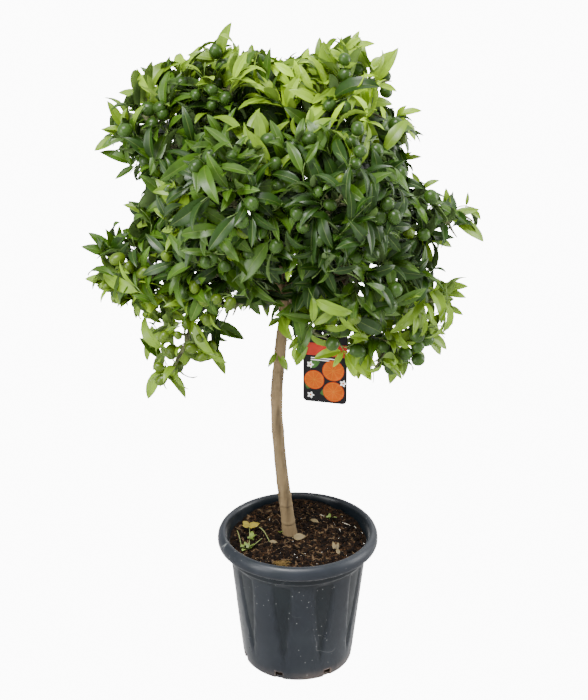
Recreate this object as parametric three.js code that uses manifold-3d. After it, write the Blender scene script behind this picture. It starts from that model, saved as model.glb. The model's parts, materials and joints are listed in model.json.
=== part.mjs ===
// A calamondin orange tree grown as a standard: one clear stem, a round head of leafy twigs with green
// fruit, and the nursery pot that it stands in. Units are millimetres and +Z is up. The origin is the centre
// of the pot's underside, and the front of the tree faces -Y.
import * as THREE from "three";
import { mergeVertices } from "three/addons/utils/BufferGeometryUtils.js";
import Module from "manifold-3d";

const wasm = await Module();
wasm.setup();

const v = (x, y, z) => new THREE.Vector3(x, y, z);
const { lerp, clamp } = THREE.MathUtils;
const UP = v(0, 0, 1);
const GOLDEN_ANGLE = Math.PI * (3 - Math.sqrt(5));

const CLEARANCE = 0.3; // between two solids that touch
const KEEP_OFF = 4; // from a twig or leaf to a limb of another solid
const BORDER = 0.6; // from a twig or leaf to the side of its own space

const POT = {
  height: 250,
  footRadius: 97,
  shoulderRadius: 119.5,
  shoulderHeight: 208,
  collarRadius: 123.5,
  rimRadius: 140,
  rimInnerRadius: 125,
  rimDepth: 24,
  rimEdge: 4, // width of the slope on each edge of the rim
  rollDepth: 12,
  wall: 3,
  floor: 4,
  segments: 40,
  flutes: 10,
  fluteDepth: 2.2,
  fluteFoot: 30,
  drains: 7,
  drainWidth: 14,
  drainHeight: 15,
  drainReach: 18,
  drainTurn: THREE.MathUtils.degToRad(-109.7),
};

const SOIL = {
  level: 226,
  relief: 3.5,
  bank: 15, // how much higher it lies at the back of the pot
  segments: 20,
  rings: [0.5, 1],
  seat: 0.17,
};

const TRUNK = {
  places: [
    v(-14, 24, SOIL.level + CLEARANCE),
    v(-21, 22, 290),
    v(-30, 17, 375),
    v(-36, 11, 490),
    v(-29, 7, 590),
    v(-22, 3, 665),
    v(-37, 0, 728),
  ],
  sides: 10,
  steps: 10,
  flareRadius: 14,
  footRadius: 12,
  waistRadius: 9.6,
  forkRadius: 9.6,
  flareHeight: 0.035, // share of the trunk's length
  waistHeight: 0.5,
};

const BOUGH = {
  mainRadius: 6.4,
  sideRadius: 5.2,
  tipRadius: 3.8,
  sides: 5,
  steps: 3,
  follow: 0.45, // how far it sets out along its parent rather than towards its mass
  bow: 0.5,
  lift: 0.1,
  entry: 0.6, // from the middle of its mass, as a share of the mass's half-size
};

const STEM = { radius: 3.5, tipRadius: 2.7, sides: 3, steps: 2, reach: 0.3 };

const TWIG = {
  radius: 2.6,
  tipRadius: 2.1,
  sides: 3,
  spread: 1.8, // how far round the mass the twigs reach, where 2 is all the way
  reach: 0.45,
  scatter: 0.15,
  lowestFork: 0.3, // share of the stem's length
  highestFork: 0.95,
};

const LEAF = {
  length: 96,
  shortest: 0.85,
  longest: 1.1,
  width: 0.44,
  keel: 0.04,
  widest: 0.44,
  arch: 0.12,
  sink: 0.1,
  perTwig: 7,
  firstAt: 0.98,
  spacing: 0.13,
  stances: 30, // ways to sit that are tried in turn
  leads: 5, // of these, those that follow the twig, for the leaf at its tip
  leadAngle: 0.25,
  leastAngle: 0.7,
  mostAngle: 1.5,
  slant: 0.5,
  swing: 0.35,
  outward: 0.15,
  skyward: 0.6,
  droop: 0.2,
  apart: 14,
  fullMass: 95, // half-size of a mass that takes leaves of full length
};

const FRUIT = {
  radius: 14,
  variety: 0.2,
  sink: 0.94, // share of its radius that it hangs below its twig's middle line
  sideways: 0.6,
  firstAt: 0.55,
  scatter: 0.3,
  apart: 31,
};

// Each bough leads to one mass of leaves. A row names the mass, the limb that its bough grows from, the share
// of that limb's length where it forks, the centre and half-sizes of the space that the mass fills, and how
// many twigs and fruits it starts.
const MASSES = [
  mass("top_mid", "trunk", 1, v(-105, 8, 1020), v(102, 100, 120), 6, 1),
  mass("top_left", "top_mid", 0.4, v(-214, -15, 966), v(114, 100, 114), 6, 2),
  mass("top_right", "top_mid", 0.3, v(90, -5, 1010), v(120, 105, 116), 6, 2),
  mass("back_top", "top_mid", 0.5, v(-35, 160, 975), v(122, 110, 108), 6, 1),
  mass("right_mid", "trunk", 0.97, v(148, -18, 845), v(96, 100, 98), 6, 2),
  mass("left_mid", "trunk", 0.93, v(-215, 5, 834), v(88, 95, 84), 5, 1),
  mass("left_low", "left_mid", 0.5, v(-257, -30, 730), v(94, 92, 86), 5, 1),
  mass("left_hang", "left_low", 0.45, v(-188, -60, 622), v(80, 80, 94), 5, 1),
  mass("front_left", "trunk", 0.95, v(-94, -160, 898), v(110, 102, 110), 6, 2),
  mass("front_right", "front_left", 0.3, v(50, -160, 893), v(110, 102, 108), 6, 2),
  mass("under_left", "trunk", 0.86, v(-122, -40, 694), v(82, 84, 68), 4, 1),
  mass("low_mid", "trunk", 0.88, v(25, -80, 660), v(84, 85, 76), 5, 1),
  mass("left_inner", "left_mid", 0.25, v(-132, -108, 768), v(98, 88, 82), 5, 1),
  mass("right_inner", "low_mid", 0.35, v(91, -112, 763), v(98, 88, 80), 5, 1),
  mass("right_low", "trunk", 0.9, v(202, -55, 704), v(93, 92, 93), 5, 1),
  mass("right_arm", "right_low", 0.6, v(246, -25, 822), v(66, 64, 62), 5, 1),
  mass("low_right", "right_low", 0.5, v(140, -50, 614), v(82, 84, 80), 5, 1),
  mass("back_left", "trunk", 0.9, v(-170, 165, 840), v(118, 115, 118), 6, 1),
  mass("back_right", "trunk", 0.94, v(90, 165, 850), v(122, 115, 120), 6, 1),
  mass("back_low", "back_right", 0.3, v(-15, 150, 705), v(118, 105, 95), 5, 1),
];

const TAG = {
  limb: "right_low",
  at: 0.49,
  drop: 110, // from the bough's middle to the slot in the card
  width: 74,
  height: 132,
  thickness: 1,
  corner: 7,
  slotWidth: 10,
  slotHeight: 4,
  slotEdge: 8,
  strapWidth: 7,
  strapThickness: 1,
};

const COLOURS = {
  pot: 0x3b444c,
  soil: 0x3a2b1d,
  trunk: 0x8d7758,
  bough: 0x7d6a4d,
  leaf: 0x4c7a2a,
  tag: 0x2c2a2b,
};
const SEEDS = { soil: 11, firstMass: 101, nextMass: 17, leaves: 1000, fruits: 2000 };

function mass(name, from, at, centre, radii, twigs, fruits) {
  return { name, from, at, centre, radii, twigs, fruits, mean: (radii.x + radii.y + radii.z) / 3 };
}

// A repeatable stream of numbers from 0 to 1.
function dice(seed) {
  let state = seed >>> 0;
  return () => {
    state = (state + 0x6d2b79f5) >>> 0;
    let mixed = Math.imul(state ^ (state >>> 15), state | 1);
    mixed ^= mixed + Math.imul(mixed ^ (mixed >>> 7), mixed | 61);
    return ((mixed ^ (mixed >>> 14)) >>> 0) / 4294967296;
  };
}

// ---------- Solids ----------

function solidOf(geometry) {
  const bare = new THREE.BufferGeometry().setAttribute("position", geometry.getAttribute("position"));
  if (geometry.index) bare.setIndex(geometry.index);
  const merged = mergeVertices(bare, 1e-4);
  const vertProperties = merged.attributes.position.array;
  const triVerts = [];
  for (let i = 0; i < merged.index.count; i += 3) {
    const [a, b, c] = merged.index.array.slice(i, i + 3);
    if (a !== b && b !== c && a !== c) triVerts.push(a, b, c);
  }
  const mesh = new wasm.Mesh({ numProp: 3, vertProperties, triVerts: Uint32Array.from(triVerts) });
  return new wasm.Manifold(mesh);
}

function solidOfFaces(points, faces) {
  const geometry = new THREE.BufferGeometry().setFromPoints(points);
  geometry.setIndex(faces.flat());
  return solidOf(geometry);
}

// The largest body of a solid, so that a scrap left by a cut is dropped.
function mainBody(solid) {
  return solid.decompose().reduce((best, piece) => (piece.volume() > best.volume() ? piece : best));
}

function meshOf(name, solid, colour, roughness) {
  const { numProp, vertProperties, triVerts, numVert } = solid.getMesh();
  const positions = new Float32Array(numVert * 3);
  for (let i = 0; i < numVert; i++) {
    positions.set(vertProperties.subarray(i * numProp, i * numProp + 3), i * 3);
  }
  const geometry = new THREE.BufferGeometry();
  geometry.setAttribute("position", new THREE.BufferAttribute(positions, 3));
  geometry.setIndex(new THREE.BufferAttribute(triVerts, 1));
  geometry.computeVertexNormals();
  const material = new THREE.MeshStandardMaterial({ color: colour, roughness, metalness: 0 });
  const mesh = new THREE.Mesh(geometry, material);
  mesh.name = name;
  return mesh;
}

function squareTo(direction, hint) {
  return hint.clone().addScaledVector(direction, -hint.dot(direction)).normalize();
}

// A closed, tapering tube along a limb's curve, with room added all round it, or a flat cut at its foot.
function tube({ curve, radius, sides, steps }, room = 0, level = false) {
  const corners = [];
  const headings = Array.from({ length: steps + 1 }, (_, i) => curve.getTangent(i / steps));
  const points = curve.getPoints(steps);
  points[0].addScaledVector(headings[0], -room);
  points[steps].addScaledVector(headings[steps], room);
  if (level) headings[0] = UP;
  let across = Math.abs(headings[0].z) > 0.9 ? v(1, 0, 0) : UP;
  points.forEach((point, i) => {
    across = squareTo(headings[i], across);
    const third = headings[i].clone().cross(across);
    const reach = radius(i / steps) + room / Math.cos(Math.PI / sides);
    for (let s = 0; s < sides; s++) {
      const turn = (2 * Math.PI * s) / sides;
      const offset = across.clone().multiplyScalar(Math.cos(turn)).addScaledVector(third, Math.sin(turn));
      corners.push(point.clone().addScaledVector(offset, reach));
    }
  });
  const end = steps * sides;
  const faces = [];
  for (let s = 0; s < sides; s++) {
    const next = (s + 1) % sides;
    for (let i = 0; i < end; i += sides) {
      faces.push([i + s, i + next, i + next + sides]);
      faces.push([i + s, i + next + sides, i + s + sides]);
    }
    if (s > 0 && next > 0) faces.push([0, next, s], [end, end + s, end + next]);
  }
  return solidOfFaces(corners, faces);
}

// ---------- Pot and soil ----------

// The inside radius of the pot at a height below its rim.
function insideRadius(z) {
  const share = (z - POT.floor) / (POT.height - POT.rimDepth - POT.floor);
  return lerp(POT.footRadius - POT.wall, POT.collarRadius - POT.wall - 1, share);
}

// Half of the pot's outline, from the middle of its underside up the outside, over the rolled rim and down
// the inside.
function potOutline() {
  const { height, footRadius, shoulderRadius, shoulderHeight, collarRadius } = POT;
  const { rimRadius, rimInnerRadius, rimEdge } = POT;
  const rimFoot = height - POT.rimDepth;
  const points = [[0, 0], [footRadius, 0]];
  for (const z of [POT.fluteFoot, shoulderHeight]) {
    points.push([lerp(footRadius, shoulderRadius, z / shoulderHeight), z]);
  }
  points.push([collarRadius, shoulderHeight + 2], [collarRadius, rimFoot]);
  points.push([rimRadius - rimEdge, rimFoot], [rimRadius, height - POT.rollDepth]);
  points.push([rimRadius - rimEdge, height], [rimInnerRadius + rimEdge, height]);
  points.push([insideRadius(rimFoot), rimFoot], [insideRadius(POT.floor), POT.floor], [0, POT.floor]);
  return points.map(([radius, z]) => new THREE.Vector2(radius, z));
}

function potSolid() {
  const shell = new THREE.LatheGeometry(potOutline(), POT.segments).rotateX(Math.PI / 2);
  const position = shell.getAttribute("position");
  const perFlute = POT.segments / POT.flutes;
  for (let i = 0; i < position.count; i++) {
    const place = v().fromBufferAttribute(position, i);
    const radius = Math.hypot(place.x, place.y);
    const turn = Math.atan2(place.y, place.x) / (2 * Math.PI);
    const column = Math.round((turn + 1) * POT.segments);
    const outside = radius > insideRadius(place.z) + 1;
    const fluted = place.z > POT.fluteFoot + 1 && place.z < POT.shoulderHeight + 1 && column % perFlute < 2;
    if (!outside || !fluted) continue;
    const drawn = (radius - POT.fluteDepth) / radius;
    position.setXY(i, place.x * drawn, place.y * drawn);
  }
  const drains = [];
  for (let i = 0; i < POT.drains; i++) {
    const turn = POT.drainTurn + (2 * Math.PI * i) / POT.drains;
    const notch = new THREE.BoxGeometry(POT.drainReach, POT.drainWidth, POT.drainHeight + 2);
    notch.translate(POT.footRadius, 0, POT.drainHeight / 2 - 1).rotateZ(turn);
    drains.push(solidOf(notch));
  }
  return mainBody(solidOf(shell).subtract(wasm.Manifold.union(drains)));
}

// Potting soil that fills the pot, with a rolling top that is level under the trunk.
function soilSolid() {
  const roll = dice(SEEDS.soil);
  const foot = v(TRUNK.places[0].x, TRUNK.places[0].y, 0);
  const { segments, level, rings, seat, relief, bank } = SOIL;
  const edge = insideRadius(level) - CLEARANCE;
  const bottom = POT.floor + CLEARANCE;
  const bottomEdge = insideRadius(bottom) - CLEARANCE;
  const corners = [];
  for (const share of [seat, ...rings]) {
    for (let s = 0; s < segments; s++) {
      const turn = (2 * Math.PI * s) / segments;
      const rim = v(edge * Math.cos(turn), edge * Math.sin(turn), 0);
      const banked = share === seat ? 0 : bank * share * Math.max(0, Math.sin(turn)) ** 2;
      const rolling = share === seat || share === 1 ? 0 : (2 * roll() - 1) * relief;
      corners.push(foot.clone().lerp(rim, share).setZ(level + banked + rolling));
    }
  }
  for (let s = 0; s < segments; s++) {
    const turn = (2 * Math.PI * s) / segments;
    corners.push(v(bottomEdge * Math.cos(turn), bottomEdge * Math.sin(turn), bottom));
  }
  corners.push(foot.clone().setZ(level), v(0, 0, bottom));
  const [top, base] = [corners.length - 2, corners.length - 1];
  const outer = (rings.length + 1) * segments;
  const faces = [];
  for (let s = 0; s < segments; s++) {
    const next = (s + 1) % segments;
    faces.push([top, s, next], [base, outer + next, outer + s]);
    for (let ring = 0; ring < outer; ring += segments) {
      const [a, b] = [ring + s, ring + next];
      faces.push([a, a + segments, b + segments], [a, b + segments, b]);
    }
  }
  return solidOfFaces(corners, faces);
}

// ---------- Trunk and boughs ----------

function trunkRadius(t) {
  const { footRadius, waistRadius, forkRadius, waistHeight } = TRUNK;
  const flare = (TRUNK.flareRadius - footRadius) * Math.exp(-t / TRUNK.flareHeight);
  if (t < waistHeight) return flare + lerp(footRadius, waistRadius, t / waistHeight);
  return lerp(waistRadius, forkRadius, (t - waistHeight) / (1 - waistHeight));
}

// A limb is a curve, its radius along it, and how finely its solid is made.
function limbOf(curve, radius, sides, steps, owner = null) {
  const line = curve.getPoints(8);
  return { curve, radius, sides, steps, owner, line, thick: line.map((_, i) => radius(i / 8)) };
}

function makeTrunk() {
  const curve = new THREE.CatmullRomCurve3(TRUNK.places, false, "catmullrom", 0.5);
  return limbOf(curve, trunkRadius, TRUNK.sides, TRUNK.steps);
}

function makeBough(row, parent) {
  const start = parent.curve.getPoint(row.at);
  const towards = row.centre.clone().sub(start).normalize();
  const reach = 1 / towards.clone().divide(row.radii).length();
  const end = row.centre.clone().addScaledVector(towards, -reach * BOUGH.entry);
  const span = end.distanceTo(start);
  const leaving = towards.clone().lerp(parent.curve.getTangent(row.at), BOUGH.follow).normalize();
  const bend = start.clone().addScaledVector(leaving, span * BOUGH.bow);
  bend.addScaledVector(UP, span * BOUGH.lift);
  const thick = row.from === "trunk" ? BOUGH.mainRadius : BOUGH.sideRadius;
  const curve = new THREE.QuadraticBezierCurve3(start, bend, end);
  return limbOf(curve, (t) => lerp(thick, BOUGH.tipRadius, t), BOUGH.sides, BOUGH.steps);
}

// The first wood of a mass, from its bough's tip through the middle of its space.
function makeStem(row, bough) {
  const heading = bough.curve.getTangent(1);
  const root = bough.curve.getPoint(1).addScaledVector(heading, CLEARANCE);
  row.outward = row.centre.clone().sub(root).normalize();
  const heart = row.centre.clone().addScaledVector(row.outward, STEM.reach * row.mean);
  const bend = root.clone().addScaledVector(heading, root.distanceTo(heart) * 0.5);
  const curve = new THREE.QuadraticBezierCurve3(root, bend, heart);
  const stem = limbOf(curve, (t) => lerp(STEM.radius, STEM.tipRadius, t), STEM.sides, STEM.steps, row);
  const bends = curve.getPoints(STEM.steps);
  stem.at = (t) => {
    const i = Math.min(Math.floor(t * STEM.steps), STEM.steps - 1);
    return bends[i].clone().lerp(bends[i + 1], t * STEM.steps - i);
  };
  return stem;
}

// ---------- Masses of leaves ----------

// Whether a point is in a mass's own space: within its rounded outline, and on its own side of every
// neighbour.
function inSpace(row, point) {
  const power = (other) => point.distanceToSquared(other.centre) - other.mean ** 2;
  if (point.clone().sub(row.centre).divide(row.radii).lengthSq() > 1) return false;
  const own = power(row);
  const beside = (other) => power(other) - own > 2 * BORDER * other.centre.distanceTo(row.centre);
  return MASSES.every((other) => other === row || beside(other));
}

function clearOfLimbs(row, point, margin) {
  const clear = (limb, i) => {
    const segment = new THREE.Line3(limb.line[i - 1], limb.line[i]);
    return segment.closestPointToPoint(point, true, v()).distanceTo(point) > limb.thick[i - 1] + margin;
  };
  return wood.every((limb) => limb.owner === row || limb.line.every((_, i) => i === 0 || clear(limb, i)));
}

function clearOfTag(point, margin) {
  const local = point.clone().sub(tag.middle).applyAxisAngle(UP, -tag.turn);
  const above = TAG.height / 2 + TAG.drop;
  const beside = Math.abs(local.x) > TAG.width / 2 + margin;
  return beside || local.z > above || local.z < -TAG.height / 2 - margin || Math.abs(local.y) > 2.5 * margin;
}

// The corners of a leaf: root, tip, its two edges where it is widest, and the keel of its midrib below them.
function leafCorners({ root, along, face, length }) {
  const side = along.clone().cross(face).normalize();
  const at = (forward, sideways, raised) => {
    const place = root.clone().addScaledVector(along, forward * length);
    return place.addScaledVector(side, sideways * length).addScaledVector(face, raised * length);
  };
  const { widest, width, arch, keel } = LEAF;
  const edges = [at(widest, -width / 2, arch), at(widest, width / 2, arch)];
  return [root, at(1, 0, -arch / 2), ...edges, at(widest, 0, arch - keel)];
}

const LEAF_FACES = [
  [0, 3, 2],
  [1, 2, 3],
  [0, 2, 4],
  [2, 1, 4],
  [1, 3, 4],
  [3, 0, 4],
];
const LEAF_LINES = [
  [0, 2],
  [2, 1],
  [1, 3],
  [3, 0],
  [0, 4],
  [4, 1],
];

// Places spread over a leaf, where it must have room.
function leafProbes(corners) {
  const halves = LEAF_LINES.map(([a, b]) => corners[a].clone().lerp(corners[b], a === 0 ? 0.6 : 0.5));
  return [...corners.slice(1, 5), ...halves];
}

function linePierces(from, to, corners) {
  const reach = from.distanceTo(to);
  const ray = new THREE.Ray(from, to.clone().sub(from).normalize());
  return LEAF_FACES.some(([a, b, c]) => {
    const hit = ray.intersectTriangle(corners[a], corners[b], corners[c], false, v());
    return hit !== null && hit.distanceTo(from) < reach;
  });
}

function leavesCross(one, other) {
  const pierces = (a, b) => LEAF_LINES.some(([from, to]) => linePierces(a[from], a[to], b));
  return pierces(one, other) || pierces(other, one);
}

function curvePierces(curve, steps, corners) {
  const points = curve.getPoints(steps);
  return points.some((point, i) => i > 0 && linePierces(points[i - 1], point, corners));
}

function fruitTouches({ centre, radius }, corners) {
  return LEAF_FACES.some(([a, b, c]) => {
    const triangle = new THREE.Triangle(corners[a], corners[b], corners[c]);
    return triangle.closestPointToPoint(centre, v()).distanceTo(centre) < radius + 1;
  });
}

// Twigs that leave the stem in a spiral and reach evenly through the mass's space.
function growTwigs(row, stem, free) {
  const roll = dice(row.seed);
  const side = squareTo(row.outward, Math.abs(row.outward.z) > 0.8 ? v(0, -1, 0) : UP);
  const third = row.outward.clone().cross(side);
  const phase = roll() * 2 * Math.PI;
  const twigs = [];
  for (let k = 0; k < row.twigs; k++) {
    const lift = 1 - (TWIG.spread * (k + 0.5)) / row.twigs;
    const around = Math.sqrt(Math.max(0, 1 - lift * lift));
    const turn = k * GOLDEN_ANGLE + phase;
    const direction = row.outward.clone().multiplyScalar(lift);
    direction.addScaledVector(side, around * Math.cos(turn)).addScaledVector(third, around * Math.sin(turn));
    const reach = TWIG.reach + TWIG.scatter * roll();
    const tip = direction.clone().multiply(row.radii).multiplyScalar(reach).add(row.centre);
    const height = clamp(0.4 + 0.6 * lift + TWIG.scatter * (roll() - 0.5), 0, 1);
    const curve = new THREE.LineCurve3(stem.at(lerp(TWIG.lowestFork, TWIG.highestFork, height)), tip);
    const clear = [0.5, 0.8, 1].every((t) => free(curve.getPoint(t), TWIG.radius + KEEP_OFF));
    if (clear) twigs.push({ curve, direction });
  }
  return twigs;
}

// Fruits hang close under the twigs, one to a twig.
function growFruits(row, twigs, free) {
  const roll = dice(row.seed + SEEDS.fruits);
  const fruits = [];
  for (const { curve } of twigs) {
    if (fruits.length === row.fruits) break;
    const radius = FRUIT.radius * (1 + FRUIT.variety * (roll() - 0.5));
    const turn = roll() * 2 * Math.PI;
    const hang = v(FRUIT.sideways * Math.cos(turn), FRUIT.sideways * Math.sin(turn), -1).normalize();
    const place = curve.getPoint(FRUIT.firstAt + FRUIT.scatter * roll());
    const centre = place.addScaledVector(hang, radius * FRUIT.sink);
    const around = [v(1, 0, 0), v(-1, 0, 0), v(0, 1, 0), v(0, -1, 0), UP, v(0, 0, -1)];
    const room = around.every((away) => free(centre.clone().addScaledVector(away, radius), KEEP_OFF));
    const apart = fruits.every((other) => other.centre.distanceTo(centre) > FRUIT.apart);
    const others = twigs.filter((twig) => twig.curve !== curve);
    const alone = others.every((twig) => distanceToCurve(centre, twig.curve) > radius + 3);
    if (room && apart && alone) fruits.push({ centre, radius });
  }
  return fruits;
}

function distanceToCurve(point, curve) {
  return Math.min(...curve.getPoints(6).map((place) => place.distanceTo(point)));
}

// Leaves in a spiral down from each twig's tip, each in the first of a few stances where it has room.
function growLeaves(row, stem, twigs, fruits, free) {
  const roll = dice(row.seed + SEEDS.leaves);
  const leaves = [];
  const fits = (corners, curve) =>
    leafProbes(corners).every((point) => free(point, KEEP_OFF)) &&
    !fruits.some((fruit) => fruitTouches(fruit, corners)) &&
    !leaves.some((other) => leavesCross(other, corners) || other[4].distanceTo(corners[4]) < LEAF.apart) &&
    !curvePierces(stem.curve, STEM.steps, corners) &&
    !twigs.some((twig) => twig.curve !== curve && curvePierces(twig.curve, 1, corners));
  for (const { curve, direction } of twigs) {
    const shoot = curve.getTangent(1);
    const across = squareTo(shoot, Math.abs(shoot.z) > 0.9 ? v(1, 0, 0) : UP);
    const third = shoot.clone().cross(across);
    for (let j = 0; j < LEAF.perTwig; j++) {
      const size = lerp(LEAF.shortest, LEAF.longest, roll()) * Math.min(1, row.mean / LEAF.fullMass);
      const slant = roll() - 0.5;
      for (let stance = 0; stance < LEAF.stances; stance++) {
        const leading = j === 0 && stance < LEAF.leads;
        const turn = ((2 * ((j + stance) % 3) + 1) * Math.PI) / 3;
        const out = across.clone().multiplyScalar(Math.cos(turn)).addScaledVector(third, Math.sin(turn));
        const root = curve.getPoint(LEAF.firstAt - LEAF.spacing * j).addScaledVector(out, -LEAF.sink);
        const spread = lerp(LEAF.leastAngle, LEAF.mostAngle, (stance % 7) / 6);
        const angle = leading ? LEAF.leadAngle : spread;
        const along = shoot.clone().multiplyScalar(Math.cos(angle)).addScaledVector(out, Math.sin(angle));
        if (!leading) {
          const sideways = LEAF.slant * slant + LEAF.swing * Math.sin(stance);
          along.addScaledVector(shoot.clone().cross(out), sideways);
          along.addScaledVector(UP, -LEAF.droop);
        }
        along.addScaledVector(direction, LEAF.outward).normalize();
        const face = squareTo(along, direction.clone().addScaledVector(UP, LEAF.skyward));
        const shrink = leading ? 1 - 0.12 * stance : 1 - 0.06 * Math.floor(stance / 5);
        const corners = leafCorners({ root, along, face, length: LEAF.length * size * shrink });
        if (!fits(corners, curve)) continue;
        leaves.push(corners);
        break;
      }
    }
  }
  return leaves;
}

function massSolid(row, stem) {
  const free = (point, margin) =>
    inSpace(row, point) && clearOfLimbs(row, point, margin) && clearOfTag(point, margin);
  const twigs = growTwigs(row, stem, free);
  const fruits = growFruits(row, twigs, free);
  const leaves = growLeaves(row, stem, twigs, fruits, free);
  const radius = (t) => lerp(TWIG.radius, TWIG.tipRadius, t);
  const parts = [tube(stem)];
  for (const { curve } of twigs) parts.push(tube({ curve, radius, sides: TWIG.sides, steps: 1 }));
  for (const corners of leaves) parts.push(solidOfFaces(corners, LEAF_FACES));
  for (const { centre, radius } of fruits) {
    parts.push(solidOf(new THREE.OctahedronGeometry(radius, 1).translate(centre.x, centre.y, centre.z)));
  }
  return mainBody(wasm.Manifold.union(parts));
}

// ---------- Tag ----------

// Where the tag hangs from its bough: straight below it, square to the bough's heading.
function makeTag(bough) {
  const heading = bough.curve.getTangent(TAG.at);
  const hook = bough.curve.getPoint(TAG.at);
  const middle = hook.clone().addScaledVector(UP, -TAG.drop - TAG.height / 2 + TAG.slotEdge);
  const lean = Math.hypot(heading.x, heading.y);
  const slope = Math.abs(heading.z) / lean;
  const inner = bough.radius(TAG.at) / lean + (TAG.strapWidth / 2) * slope + CLEARANCE;
  return { hook, middle, inner, turn: Math.atan2(heading.y, heading.x) };
}

function roundedRectangle(width, height, corner, path = new THREE.Shape()) {
  const [x, y] = [width / 2 - corner, height / 2 - corner];
  path.absarc(x, y, corner, 0, Math.PI / 2);
  path.absarc(-x, y, corner, Math.PI / 2, Math.PI);
  path.absarc(-x, -y, corner, Math.PI, 1.5 * Math.PI);
  path.absarc(x, -y, corner, 1.5 * Math.PI, 2 * Math.PI);
  path.closePath();
  return path;
}

function extrude(outline, depth, curveSegments) {
  return new THREE.ExtrudeGeometry(outline, { depth, bevelEnabled: false, curveSegments });
}

// A stiff picture label with round corners and a slot near its top.
function tagCard() {
  const { width, height, corner, thickness, slotWidth, slotHeight, slotEdge } = TAG;
  const outline = roundedRectangle(width, height, corner);
  const slot = new THREE.Path();
  const [x, y, rise] = [slotWidth / 2, height / 2 - slotEdge, slotHeight / 2];
  slot.moveTo(-x, y - rise).lineTo(-x, y + rise).lineTo(x, y + rise).lineTo(x, y - rise).closePath();
  outline.holes.push(slot);
  const card = extrude(outline, thickness, 3);
  card.translate(0, 0, -thickness / 2).rotateX(Math.PI / 2).rotateZ(tag.turn);
  return solidOf(card.translate(tag.middle.x, tag.middle.y, tag.middle.z));
}

// A slim band that runs over the bough and down through the card's slot.
function tagStrap() {
  const { strapWidth, strapThickness, drop, slotHeight } = TAG;
  const foot = -drop - slotHeight / 2 + CLEARANCE + strapThickness;
  const inner = tag.inner;
  const band = new THREE.Shape();
  const outer = inner + strapThickness;
  band.absarc(0, 0, outer, 0, Math.PI);
  band.lineTo(-strapThickness * 2, foot - strapThickness).lineTo(strapThickness * 2, foot - strapThickness);
  band.closePath();
  const gap = new THREE.Path();
  gap.absarc(0, 0, inner, 0, Math.PI);
  gap.lineTo(-strapThickness, foot).lineTo(strapThickness, foot).closePath();
  band.holes.push(gap);
  const strap = extrude(band, strapWidth, 4);
  strap.translate(0, 0, -strapWidth / 2).rotateX(Math.PI / 2).rotateZ(tag.turn + Math.PI / 2);
  return solidOf(strap.translate(tag.hook.x, tag.hook.y, tag.hook.z));
}

// ---------- The whole tree ----------

MASSES.forEach((row, i) => {
  row.seed = SEEDS.firstMass + SEEDS.nextMass * i;
});

const limbs = { trunk: makeTrunk() };
for (const row of MASSES) limbs[row.name] = makeBough(row, limbs[row.from]);
const stems = Object.fromEntries(MASSES.map((row) => [row.name, makeStem(row, limbs[row.name])]));
const wood = [...Object.values(limbs), ...Object.values(stems)];
const tag = makeTag(limbs[TAG.limb]);

const tree = new THREE.Group();
tree.add(meshOf("pot", potSolid(), COLOURS.pot, 0.5));
tree.add(meshOf("soil", soilSolid(), COLOURS.soil, 0.95));
tree.add(meshOf("trunk", tube(limbs.trunk, 0, true), COLOURS.trunk, 0.8));

let taken = tube(limbs.trunk, CLEARANCE);
for (const { name } of MASSES) {
  tree.add(meshOf("bough_" + name, mainBody(tube(limbs[name]).subtract(taken)), COLOURS.bough, 0.8));
  taken = taken.add(tube(limbs[name], CLEARANCE));
}
for (const row of MASSES) {
  tree.add(meshOf("leaves_" + row.name, massSolid(row, stems[row.name]), COLOURS.leaf, 0.45));
}
tree.add(meshOf("tag_card", tagCard(), COLOURS.tag, 0.35));
tree.add(meshOf("tag_strap", tagStrap(), COLOURS.tag, 0.4));

export default tree;
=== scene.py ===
"""A calamondin orange tree grown as a standard: one clear stem, a round head of glossy leaves with green
fruit, a nursery pot of compost and a picture label. The front of the tree faces -Y.

Sizes are in millimetres, as in the part's source, and become metres when a mesh is made.
"""
import json
import math
import random

import bpy
import numpy as np
from mathutils import Matrix, Vector, noise

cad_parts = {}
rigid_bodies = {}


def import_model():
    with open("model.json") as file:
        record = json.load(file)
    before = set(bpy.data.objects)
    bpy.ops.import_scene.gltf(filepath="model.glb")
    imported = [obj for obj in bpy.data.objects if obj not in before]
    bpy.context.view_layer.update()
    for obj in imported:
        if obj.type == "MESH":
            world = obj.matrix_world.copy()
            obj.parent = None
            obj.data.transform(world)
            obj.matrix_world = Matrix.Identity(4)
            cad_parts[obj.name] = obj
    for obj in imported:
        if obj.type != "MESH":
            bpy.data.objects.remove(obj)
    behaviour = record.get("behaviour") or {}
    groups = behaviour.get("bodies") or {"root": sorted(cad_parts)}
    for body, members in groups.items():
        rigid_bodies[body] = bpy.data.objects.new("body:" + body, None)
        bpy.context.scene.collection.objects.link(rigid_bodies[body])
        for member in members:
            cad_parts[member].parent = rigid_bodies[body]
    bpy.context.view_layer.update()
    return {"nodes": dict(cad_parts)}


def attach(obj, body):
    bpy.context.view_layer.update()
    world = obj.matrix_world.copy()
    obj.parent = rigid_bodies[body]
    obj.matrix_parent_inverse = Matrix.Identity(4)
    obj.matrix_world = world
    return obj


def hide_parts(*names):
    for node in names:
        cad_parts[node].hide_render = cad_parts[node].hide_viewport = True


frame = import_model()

MM = 0.001
UP = Vector((0, 0, 1))
X_AXIS = Vector((1, 0, 0))
GOLDEN_ANGLE = math.pi * (3 - math.sqrt(5))
CLEARANCE = 0.3

# ---------- Sizes that the solids share ----------

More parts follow.
